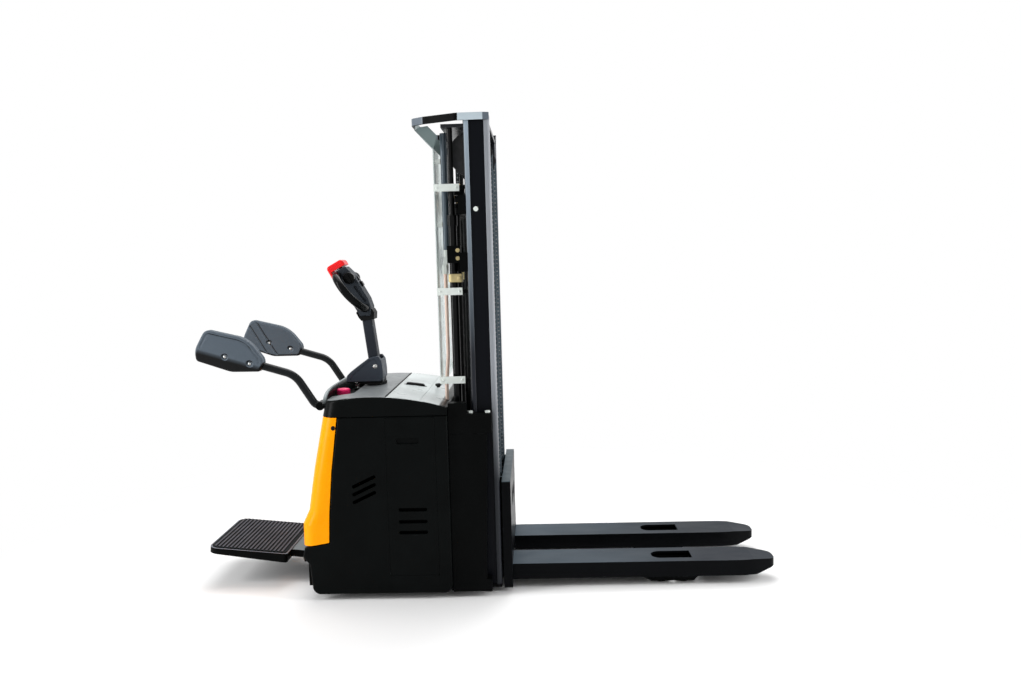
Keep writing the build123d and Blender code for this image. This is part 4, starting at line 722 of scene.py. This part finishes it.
DISH_DEPTH = 2.5 * MM  # dish round each bolt
DISH_SLOPE = (15 * MM, 11 * MM)  # outer and inner radius of its slope
PAD_POINTS = 240
PAD_INSETS = (0, 0.4, 1.1, 2, 3.2, 4.6, 6.4, 9, 12)  # rings near the edge
PAD_RINGS = 40
PAD_SLACK = 0.8  # share of the way in from a point of the edge that counts as distance from the edge
PARTING = ((0.44, 0), (0.47, 1.2), (0.53, 1.2), (0.56, 0))  # share of the thickness, and depth of the line


def pad_depth(point, edge_gap, outside):
    """How far a point of the pad's face stands from the tube, by its place along and above the tube."""
    along, above = point
    round_off = PAD_RIM - math.sqrt(PAD_RIM**2 - max(0, PAD_RIM - edge_gap) ** 2)
    dish = sum(DISH_DEPTH * smooth(*DISH_SLOPE, math.hypot(along - s * MM, above)) for s in PAD_BOLTS)
    if outside:
        part = 0 if above > 0 else 1
        fall = PAD_FALL[part] * (abs(above) / PAD_REACH[part]) ** PAD_CROWN
        ridge = math.exp(-(((edge_gap - RIDGE_LINE) / RIDGE_HALF) ** 2))
        groove = RIDGE_DEPTH * ridge * smooth(0, RIDGE_FADE, above)
        return PAD_OUT - fall - groove - round_off - dish
    channel = 0
    for station in PAD_CHANNELS:
        ahead, over = along - station * MM, above - CHANNEL_RISE
        across = ahead * math.cos(CHANNEL_LEAN) + over * math.sin(CHANNEL_LEAN)
        channel += CHANNEL_DEPTH * math.exp(-((across / CHANNEL_HALF) ** 2))
    return PAD_IN - channel * smooth(*CHANNEL_FADE, edge_gap) - round_off - dish


def arm_tube(side, sign):
    """Pivot of a guard arm, upper bend of its tube, direction of the tube there, and the tube's Y."""
    arm_low, arm_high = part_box(f"guard_arm_{side}")
    low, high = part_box(f"arm_pad_{side}")
    pivot = Vector((arm_high.x - HUB_RADIUS, arm_low.z + HUB_RADIUS))
    bend = pivot + Vector(PAD_BEND) * MM
    tube = (Vector(PAD_BEND) - Vector(PAD_END)).normalized()
    tube_y = low.y + PAD_IN if sign > 0 else high.y - PAD_IN
    return pivot, bend, tube, tube_y


def add_pad(side, sign):
    """Moulded foam pad: crowned outside, channelled towards the rider, with a parting line round its edge."""
    pivot, bend, tube, tube_y = arm_tube(side, sign)
    rise = Vector((-tube.y, tube.x))
    corners = [pivot + Vector(corner) * MM for corner in PAD_CORNERS]
    edge, inward = rounded_outline(corners, [r * MM for r in PAD_ROUNDS], PAD_POINTS)
    middle = sum(edge, Vector((0, 0))) / PAD_POINTS

    def ring(inset, share, outside):
        points = []
        for p, n in zip(edge, inward):
            q = (p + n * inset).lerp(middle, share)
            gap = inset + share * ((p + n * inset) - middle).length * PAD_SLACK
            local = ((q - bend).dot(tube), (q - bend).dot(rise))
            depth = pad_depth(local, gap, outside)
            points.append((q.x, tube_y + sign * (depth if outside else -depth), q.y))
        return points

    steps = [(inset * MM, 0) for inset in PAD_INSETS]
    steps += [(PAD_INSETS[-1] * MM, i / PAD_RINGS) for i in range(1, PAD_RINGS)]
    inner = [ring(*step, False) for step in reversed(steps)]
    outer = [ring(*step, True) for step in steps]
    parting = []
    for share, inset in PARTING:
        row = []
        for a, b, n in zip(inner[-1], outer[0], inward):
            point = Vector(a).lerp(Vector(b), share)
            row.append(point + Vector((n.x, 0, n.y)) * inset * MM)
        parting.append(row)
    # the pad's upward faces carry painted light from above
    made = loft(f"pad_{side}", inner + parting + outer, f"arm_{side}", "pad_black", "pad_black", sharp=60)
    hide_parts(f"arm_pad_{side}")


def add_pad_bolts(side, sign):
    """Two bolts on each face of a pad."""
    _, bend, tube, tube_y = arm_tube(side, sign)
    mesh = bmesh.new()
    for station in PAD_BOLTS:
        place = bend + tube * station * MM
        for outside, depth in ((1, PAD_OUT), (-1, PAD_IN)):
            seat = Vector((place.x, tube_y + sign * outside * (depth - PAD_BOLT_SINK), place.y))
            dome_bolt(mesh, seat, (0, sign * outside, 0), *PAD_BOLT)
    piece(f"pad_bolts_{side}", mesh, f"arm_{side}", "bright_steel", "bright_steel")


# Fittings of the covers

COVER_BOLT = (7.5 * MM, 4 * MM)  # radius and height
COVER_BOLT_BACK = 15.5 * MM  # back from the front edge of the yellow cover
COVER_BOLT_DOWN = 44 * MM  # down from its top
COVER_BOLT_SINK = 0.5 * MM
KNOB_BACK = 79 * MM  # front of the top cover back to the knob
KNOB_FOOT = 12 * MM  # underside of the battery lid up to the knob's foot
KNOB_PROFILE = [(8, 0), (8, 6), (13, 8), (13.5, 14), (12, 17), (7, 18.5), (3, 18.5)]  # millimetres
KNOB_LOBES = 8
KNOB_LOBE = 0.7 * MM
HANDLE_LENGTH = 98 * MM
HANDLE_WIDTH = 24 * MM
HANDLE_THICK = 15 * MM
HANDLE_RISE = 3 * MM  # its middle above the lid
HANDLE_SINK = 15 * MM  # its ends below that
HANDLE_END = 0.12  # share of its length that turns down at each end
HANDLE_STEPS = 24
HANDLE_POINTS = 16
HANDLE_SQUARE = 0.5  # power that turns the round section into a rounded rectangle
SEAL_WIDTH = 8 * MM  # rubber seal along the rear edge of the lid
SEAL_RISE = 2.5 * MM
SEAL_GAP = 1 * MM
SEAL_END = 3 * MM  # length over which each end narrows
SEAL_TAPER = 0.7  # share of the section left there
SEAL_SECTION = mirrored([(-0.5, -2), (-0.5, 0.2), (-0.36, 0.75), (-0.14, 1)])  # shares of width and rise
LIP_HALF = 345 * MM  # half length of the raised rim behind the dash
LIP_THICK = 18 * MM
LIP_RISE = 21 * MM  # its crest above the covers
LIP_DEPTH = 62 * MM
LIP_GAP = 1 * MM
LIP_SECTION = mirrored([(-0.5, 0), (-0.5, 0.78), (-0.42, 0.92), (-0.2, 1)])  # shares of thickness and depth
LIP_STEPS = 60
LIP_ROUND = 7  # power that keeps the crest level and rounds its ends
LIP_LEAST = 0.02


def surface(node, x, y):
    """Height of a node's upper face at a place."""
    data = nodes[node].data
    tree = BVHTree.FromPolygons([v.co for v in data.vertices], [p.vertices for p in data.polygons])
    return tree.ray_cast(Vector((x, y, cad_box[1][2] + 1)), Vector((0, 0, -1)))[0].z


def add_cover_bolts():
    """Quarter-turn fasteners of the yellow cover, one on each side."""
    side_bolts("cover_bolts", "rear_panel", COVER_BOLT_BACK, COVER_BOLT_DOWN, COVER_BOLT_SINK, COVER_BOLT,
               "chassis", "black_steel", "matt_black")


def add_knob():
    """Round grip of the front cover."""
    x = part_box("top_cover")[1].x - KNOB_BACK
    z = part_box("battery_lid")[0].z + KNOB_FOOT
    mesh = bmesh.new()
    profile = stretched(KNOB_PROFILE, MM, MM)
    turned(mesh, (x, 0, z), UP, profile, sides=48, lobes=KNOB_LOBES, lobe=KNOB_LOBE)
    piece("cover_knob", mesh, "chassis", "grip_black", "matt_black")


def add_lid_handle():
    """Strap handle that bridges the slot of the battery lid."""
    low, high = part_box("battery_lid")
    middle = (low.x + high.x) / 2
    beside = high.y / 4  # clear of the hand slot

    def squared(value):
        return math.copysign(abs(value) ** HANDLE_SQUARE, value)

    rings = []
    for step in range(HANDLE_STEPS + 1):
        t = step / HANDLE_STEPS
        x = middle + (t - 0.5) * HANDLE_LENGTH
        drop = 1 - smooth(0, HANDLE_END, t) * smooth(0, HANDLE_END, 1 - t)
        z = surface("battery_lid", x, beside) + HANDLE_RISE - HANDLE_SINK * drop
        ring = []
        for k in range(HANDLE_POINTS):
            angle = 2 * math.pi * k / HANDLE_POINTS
            y = HANDLE_WIDTH / 2 * squared(math.cos(angle))
            ring.append((x, y, z + HANDLE_THICK / 2 * squared(math.sin(angle))))
        rings.append(ring)
    loft("lid_handle", rings, "lid", "grip_black", "matt_black")


def add_lid_seal():
    """Rubber seal across the covers behind the lid, with a rounded back."""
    low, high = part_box("battery_lid")
    x = low.x - SEAL_WIDTH / 2 - SEAL_GAP
    ends = ((SEAL_TAPER, low.y), (1, low.y + SEAL_END), (1, high.y - SEAL_END), (SEAL_TAPER, high.y))
    rings = []
    for size, y in ends:
        section = stretched(SEAL_SECTION, size * SEAL_WIDTH, size * SEAL_RISE)
        rings.append([(x + across, y, high.z + height) for across, height in section])
    loft("lid_seal", rings, "chassis", "black_steel", "matt_black")


def add_dash_lip():
    """Raised rim along the rear edge of the dash, rounded at its crest and its ends."""
    low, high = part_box("top_cover")
    x = low.x + LIP_THICK / 2 + LIP_GAP
    foot = high.z + LIP_RISE - LIP_DEPTH
    rings = []
    for step in range(LIP_STEPS + 1):
        along = math.sin(math.pi * (step / LIP_STEPS - 0.5))
        rise = math.sqrt(max(LIP_LEAST, 1 - abs(along) ** LIP_ROUND)) * LIP_DEPTH
        section = stretched(LIP_SECTION, LIP_THICK, rise)
        rings.append([(x + across, along * LIP_HALF, foot + height) for across, height in section])
    # the lip's upward faces carry painted light from above
    loft("dash_lip", rings, "chassis", "black_cover", "lip_cover", sharp=50)


# Fittings of the mast

BRACKET_PITCH = 100 * MM  # points further apart than this in height are of two guard brackets
SCREW = (4.5 * MM, 3 * MM)  # radius and height
SCREW_IN = 26 * MM  # outer side of the brackets in to the face that takes the screws
SCREW_REAR = 14 * MM  # rear of the brackets to the first screw
SCREW_FRONT = 37 * MM  # front of the brackets to the second screw
COLLAR_RADIUS = 22 * MM  # largest radius of a lift cylinder
BAND_RISE = 38 * MM  # middle guard bracket up to the cylinder's band
BAND_HEIGHT = 36 * MM
BAND_HALF = 23 * MM
BAND_BACK = 23 * MM  # behind the cylinder's axis, and ahead of it
BAND_FRONT = 38 * MM
BAND_BEVEL = 2 * MM
BAND_ROUNDS = (15 * MM, 5 * MM, 5 * MM, 15 * MM)
BAND_POINTS = 60
BAND_BOLT = (7 * MM, 6 * MM)  # radius and height
BAND_BOLT_AHEAD = 25 * MM
GUARD_BEND = 123 * MM  # top of the guard sheet down to its bend and to its lip
GUARD_LIP = 37 * MM
GUARD_LIP_HALF = 205 * MM
GUARD_LIP_IN = 4 * MM  # rear of the sheet to the lip
WING_REACH = 50 * MM  # flange along the leaning edges of the guard sheet
WING_THICK = 3 * MM
WING_ENDS = (0.78, 0.25)  # the flange has its full width between these shares of the edge
WING_TOP = 0.35  # share of the width that is left at the lip
BAR_BACK = 30 * MM  # outer mast back to the rear face of its cross bars
RETURN_RADIUS = 13.5 * MM  # ribbed return hose beside each lift cylinder
RETURN_GROOVE = 1.2 * MM
RETURN_PITCH = 9 * MM
RETURN_RIB = ((0, 0), (0.35, 0), (0.5, RETURN_GROOVE), (0.85, RETURN_GROOVE))  # along the pitch, and in
RETURN_AHEAD = 18 * MM  # ahead of the cylinder's axis, and in from it
RETURN_IN = 47 * MM
RETURN_START = 20 * MM  # above the lowest cross bar's underside
RETURN_TOP = 60 * MM  # above the cylinder's top
NUT_PROFILE = [(10, 0), (11, 2), (11, 16), (10, 18)]  # millimetres
NUT_BELOW = 8 * MM  # the lower nut starts this far below the hose, and the upper one below its top
NUT_OVERLAP = 4 * MM
CLIP_HEIGHT = 14 * MM
CLIP_WALL = 2 * MM
CLIP_BEVEL = (1 * MM, 1.5 * MM)  # across the wall and along the hose
CLIP_RISE = 124 * MM  # middle guard bracket up to the clip on the middle cross bar
CLIP_END = 20 * MM  # ends of the hose to the other two clips
CLIP_THICK = 3 * MM
CLIP_FOOT = 22 * MM
CLIP_SINK = 1 * MM
CLIP_BOLT = (4 * MM, 3 * MM)  # radius and height
CLIP_BOLT_IN = 12 * MM


def bracket_heights():
    """Middles of the guard brackets, from the node's own points."""
    groups = []
    for z in sorted(v.co.z for v in nodes["guard_brackets"].data.vertices):
        if not groups or z - groups[-1][-1] > BRACKET_PITCH:
            groups.append([])
        groups[-1].append(z)
    return [(group[0] + group[-1]) / 2 for group in groups]


def add_bracket_screws():
    """Two screws on the outer side of each guard bracket."""
    low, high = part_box("guard_brackets")
    mesh = bmesh.new()
    for z in bracket_heights():
        for sign in SIDES.values():
            for x in (low.x + SCREW_REAR, high.x - SCREW_FRONT):
                dome_bolt(mesh, (x, sign * (high.y - SCREW_IN), z), (0, sign, 0), *SCREW)
    piece("bracket_screws", mesh, "chassis", "zinc_white", "zinc_white")


def add_cylinder_bands():
    """Two-part band round each lift cylinder, with its bolt."""
    low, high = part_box("lift_cylinders")
    z0 = bracket_heights()[1] + BAND_RISE
    levels = ((BAND_BEVEL, 0), (0, BAND_BEVEL), (0, BAND_HEIGHT - BAND_BEVEL), (BAND_BEVEL, BAND_HEIGHT))
    for side, sign in SIDES.items():
        x, y = (low.x + high.x) / 2, sign * (high.y - COLLAR_RADIUS)
        mesh = bmesh.new()
        rings = []
        for inset, height in levels:
            back, front, half = (size - inset for size in (BAND_BACK, BAND_FRONT, BAND_HALF))
            corners = [(-back, -half), (front, -half), (front, half), (-back, half)]
            points, _ = rounded_outline(corners, BAND_ROUNDS, BAND_POINTS)
            rings.append([(x + p.x, y + p.y, z0 + height) for p in points])
        skin(mesh, rings)
        bolt = (x + BAND_BOLT_AHEAD, y + sign * BAND_HALF, z0 + BAND_HEIGHT / 2)
        hex_bolt(mesh, bolt, (0, sign, 0), *BAND_BOLT)
        piece(f"cylinder_band_{side}", mesh, "chassis", "anchor_brass", "olive_zinc")


def add_guard_wings():
    """Flange along each leaning edge of the guard sheet, up to the top ring."""
    low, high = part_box("mast_guard")
    bend = Vector((high.x, high.y, high.z - GUARD_BEND))
    lip = Vector((low.x + GUARD_LIP_IN, GUARD_LIP_HALF, high.z - GUARD_LIP))
    lean = (lip - bend).normalized()
    ahead = Vector((lean.z, 0, -lean.x)).normalized() * WING_REACH
    outline = [bend, lip, lip + ahead * WING_TOP]
    outline += [bend.lerp(lip, share) + ahead for share in WING_ENDS]
    for side, sign in SIDES.items():
        rings = [[(p.x, sign * (p.y - inset), p.z) for p in outline] for inset in (0, WING_THICK)]
        loft(f"guard_wing_{side}", rings, "chassis", "clear_sheet", "smoke_plastic")


def return_clip(mesh, x, y, z, bar, sign):
    """Collar round a return hose, and its lug and foot on the rear face of a cross bar."""
    wall = RETURN_RADIUS + CLIP_WALL
    across, along = CLIP_BEVEL
    collar = [(wall - across, 0), (wall, along), (wall, CLIP_HEIGHT - along), (wall - across, CLIP_HEIGHT)]
    turned(mesh, (x, y, z), UP, collar, sides=28)
    side_y = y - sign * (RETURN_RADIUS - CLIP_SINK)
    plate(mesh, upright(x, bar, z, CLIP_HEIGHT), side_y, side_y - sign * CLIP_THICK)
    plate(mesh, upright(bar - CLIP_THICK, bar, z, CLIP_HEIGHT), side_y, side_y - sign * CLIP_FOOT)
    bolt = (bar - CLIP_THICK, side_y - sign * CLIP_BOLT_IN, z + CLIP_HEIGHT / 2)
    dome_bolt(mesh, bolt, (-1, 0, 0), *CLIP_BOLT)


def add_return_hoses():
    """Ribbed hose beside each lift cylinder, clipped to the rear of the three cross bars."""
    low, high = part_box("lift_cylinders")
    x = (low.x + high.x) / 2 + RETURN_AHEAD
    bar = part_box("outer_mast_left")[0].x - BAR_BACK
    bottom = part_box("mast_cross_members")[0].z + RETURN_START
    top = high.z + RETURN_TOP
    ribs = []
    for step in range(int((top - bottom) / RETURN_PITCH)):
        ribs += [(RETURN_RADIUS - depth, (step + share) * RETURN_PITCH) for share, depth in RETURN_RIB]
    for side, sign in SIDES.items():
        y = sign * (high.y - COLLAR_RADIUS - RETURN_IN)
        mesh = bmesh.new()
        turned(mesh, (x, y, bottom), UP, ribs, sides=20)
        for z in (bottom - NUT_BELOW, top - NUT_OVERLAP):
            turned(mesh, (x, y, z), UP, stretched(NUT_PROFILE, MM, MM), sides=6)
        piece(f"return_hose_{side}", mesh, "chassis", "hose_rubber", "matt_black")
        mesh = bmesh.new()
        for z in (bottom + CLIP_END, bracket_heights()[1] + CLIP_RISE, top - CLIP_END):
            return_clip(mesh, x, y, z - CLIP_HEIGHT / 2, bar, sign)
        piece(f"return_clips_{side}", mesh, "chassis", "black_steel", "black_steel")


# Fittings of the tiller

PIVOT_BOLT = (8 * MM, 4 * MM)  # radius and height
PIVOT_BACK = 42 * MM  # front of the tiller's base back to its pivot
PIVOT_DOWN = 46 * MM  # top of the base down to it
PIVOT_SINK = 2 * MM


def add_shroud_bolts():
    """Pivot bolts of the tiller, one on each cheek."""
    side_bolts("shroud_bolts", "tiller_base", PIVOT_BACK, PIVOT_DOWN, PIVOT_SINK, PIVOT_BOLT,
               "steering", "bright_steel", "bright_steel")


# Faces with a finish of their own

FACING = 0.9  # a face looks along an axis when more than this part of its normal lies along it
FACING_CURVED = 0.85
FACING_SLOPED = 0.7
FACING_EDGE = 0.6
FACING_RING = 0.99
STANDING = 0.5  # and stands upright when less than this lies along Z
MARGIN = 1 * MM  # room left where a face is picked by its place
TOP_SHEEN_DEPTH = 11 * MM  # faces this close to the top of the forks and of the carriage take a painted sheen
CREST_DEPTH = 1 * MM  # the mat's ribs this close to the highest one get paler tops
RECESS_DEPTH = 20 * MM  # top of the stop button down to below the painted grey sheen of the dash
FRONT_DEPTH = 29 * MM  # underside of the battery lid down to below the painted grey sheen of the front cover
RAIL_STRIP = 3 * MM  # depth of the raised strips on a rail's side, and of the web between them
RAIL_WEB = 6 * MM
RING_HEIGHT = 30 * MM
RING_CORNER = 60 * MM  # rear of the ring to the end of its cut corners, and front to the end of its bevels
RING_BEVEL = 35 * MM
CLAMP_HALF = 30.2 * MM  # axis of a lift cylinder to the bolts of its clamp
GUARD_FOLD = 7 * MM  # the darker part of the guard sheet starts this far below its bend
BRACKET_TONGUE = 25.5 * MM  # black tongue of each guard bracket
PIPE_LENGTH = 499 * MM  # steel pipe at the top of the hydraulic line, and the fitting below it
PIPE_RADIUS = 15 * MM
FITTING_LENGTH = 105 * MM
STEM_HEIGHT = 415 * MM  # foot of the steering stem up to the shroud
THROAT_HALF = 40.5 * MM  # black throat between the cheeks of the tiller's head
THROAT_RISE = 220 * MM  # top of the tiller's base up to the end of the throat


def paint_forks():
    """Painted sheen of the light on the tops of the forks and on the upper edge of the carriage."""
    for side in SIDES:
        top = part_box(f"fork_{side}")[1].z - TOP_SHEEN_DEPTH
        paint_faces(f"fork_{side}", ("fork_top", lambda c, n: n.z > FACING and c.z > top))
    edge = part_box("carriage_frame")[1].z - TOP_SHEEN_DEPTH
    paint_faces("carriage_frame", ("carriage_edge", lambda c, n: n.z > FACING_EDGE and c.z > edge))


def paint_platform():
    """Paler tops of the mat's ribs, its pale border and the step next to the machine."""
    tops = [face for face in nodes["platform_mat"].data.polygons if face.normal.z > FACING]
    crest = max(face.center.dot(face.normal) for face in tops) - CREST_DEPTH
    paint_faces("platform_mat", ("rib_rubber", lambda c, n: n.z > FACING and c.dot(n) > crest))
    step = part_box("platform_mat")[1].x
    paint_faces("platform_frame", ("rim_grey", lambda c, n: n.z > FACING and c.x < step),
                ("neck_slate", lambda c, n: n.z > FACING and c.x > step))


def paint_covers():
    """Top faces of the covers painted grey as a sheen of the top light; the recess behind the tiller stays
    black.
    """
    lid_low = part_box("battery_lid")[0]
    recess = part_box("stop_button")[1].z - RECESS_DEPTH
    front = lid_low.z - FRONT_DEPTH
    paint_faces("top_cover",
                ("dash_grey", lambda c, n: n.z > FACING_CURVED and c.x < lid_low.x and c.z > recess),
                ("front_grey", lambda c, n: n.z > FACING_CURVED and c.x > lid_low.x and c.z > front))


def paint_rails():
    """Painted highlights on the raised strips and front edges of the rails, and painted shade on the web
    between the strips.
    """
    low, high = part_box("outer_mast_left")
    strip, web, middle = high.y - RAIL_STRIP, high.y - RAIL_WEB, (low.x + high.x) / 2
    for side in SIDES:
        paint_faces(f"outer_mast_{side}",
                    ("rail_web", lambda c, n: abs(n.y) > FACING and web < abs(c.y) < strip),
                    ("rail_rear", lambda c, n: abs(c.y) > strip and n.x > -FACING and c.x < middle),
                    ("rail_front", lambda c, n: (abs(c.y) > strip or n.x > FACING_SLOPED) and c.x > middle))
        paint_faces(f"inner_mast_{side}", ("rail_front", lambda c, n: n.x > FACING_SLOPED))


def paint_ring():
    """Bolts of the cylinder clamps, and painted reflections on the grey, slate and pale faces of the black
    ring round the mast's top.
    """
    mast_low, mast_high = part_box("outer_mast_left")
    low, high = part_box("mast_cross_members")
    foot = high.z - RING_HEIGHT - MARGIN
    bars = mast_low.x - BAR_BACK - MARGIN / 10
    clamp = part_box("lift_cylinders")[1].y - COLLAR_RADIUS + CLAMP_HALF
    rear, front = low.x + RING_CORNER, mast_high.x - RING_BEVEL

    def corner(c, n):
        return c.z > foot and (c.x < rear or c.x > front) and abs(n.z) < STANDING

    paint_faces("mast_cross_members",
                ("olive_zinc", lambda c, n: abs(c.y) > clamp and c.x < bars and c.z < foot),
                ("ring_grey", corner),
                ("ring_slate", lambda c, n: c.z > foot and n.x < -FACING),
                ("ring_pale", lambda c, n: c.z > foot and abs(n.y) > FACING_RING and abs(c.y) > mast_high.y))


def paint_guard():
    """Darker leaning part of the guard sheet, and the black tongues of its brackets."""
    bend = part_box("mast_guard")[1].z - GUARD_BEND - GUARD_FOLD
    paint_faces("mast_guard", ("lean_sheet", lambda c, n: c.z > bend))
    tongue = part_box("guard_brackets")[1].x - BRACKET_TONGUE
    paint_faces("guard_brackets", ("black_steel", lambda c, n: c.x > tongue))


def paint_hose():
    """Steel pipe at the top of the hydraulic line, with its fitting and its clips."""
    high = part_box("hydraulic_hose")[1]
    pipe = high.z - PIPE_LENGTH
    nut = pipe - FITTING_LENGTH
    clip = high.x - 2 * PIPE_RADIUS - MARGIN / 2
    paint_faces("hydraulic_hose", ("pipe_grey", lambda c, n: c.z > pipe),
                ("zinc_white", lambda c, n: nut < c.z < pipe + MARGIN or c.z > pipe and c.x < clip))


def paint_tiller():
    """Black steering stem, and the black throat of the tiller's head."""
    low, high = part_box("tiller_base")
    stem, throat = low.z + STEM_HEIGHT, high.z + THROAT_RISE
    paint_faces("tiller_base", ("matt_black", lambda c, n: c.z < stem))
    paint_faces("tiller_head", ("matt_black", lambda c, n: abs(c.y) < THROAT_HALF and c.z < throat))


def paint_all():
    for node in nodes:
        paint(node, finish_of(node))
    paint_covers()
    paint_rails()
    paint_ring()
    paint_guard()
    paint_hose()
    paint_tiller()
    paint_platform()
    paint_forks()


bpy.context.scene.view_settings.view_transform = "Standard"
add_camera()
add_lights()
add_world()
add_floor()
paint_all()
for side, sign in SIDES.items():
    add_rear_chain(side, sign)
    add_front_chain(side, sign)
    add_pad(side, sign)
    add_pad_bolts(side, sign)
add_cover_bolts()
add_bracket_screws()
add_knob()
add_lid_handle()
add_lid_seal()
add_cylinder_bands()
add_shroud_bolts()
add_dash_lip()
add_guard_wings()
add_return_hoses()
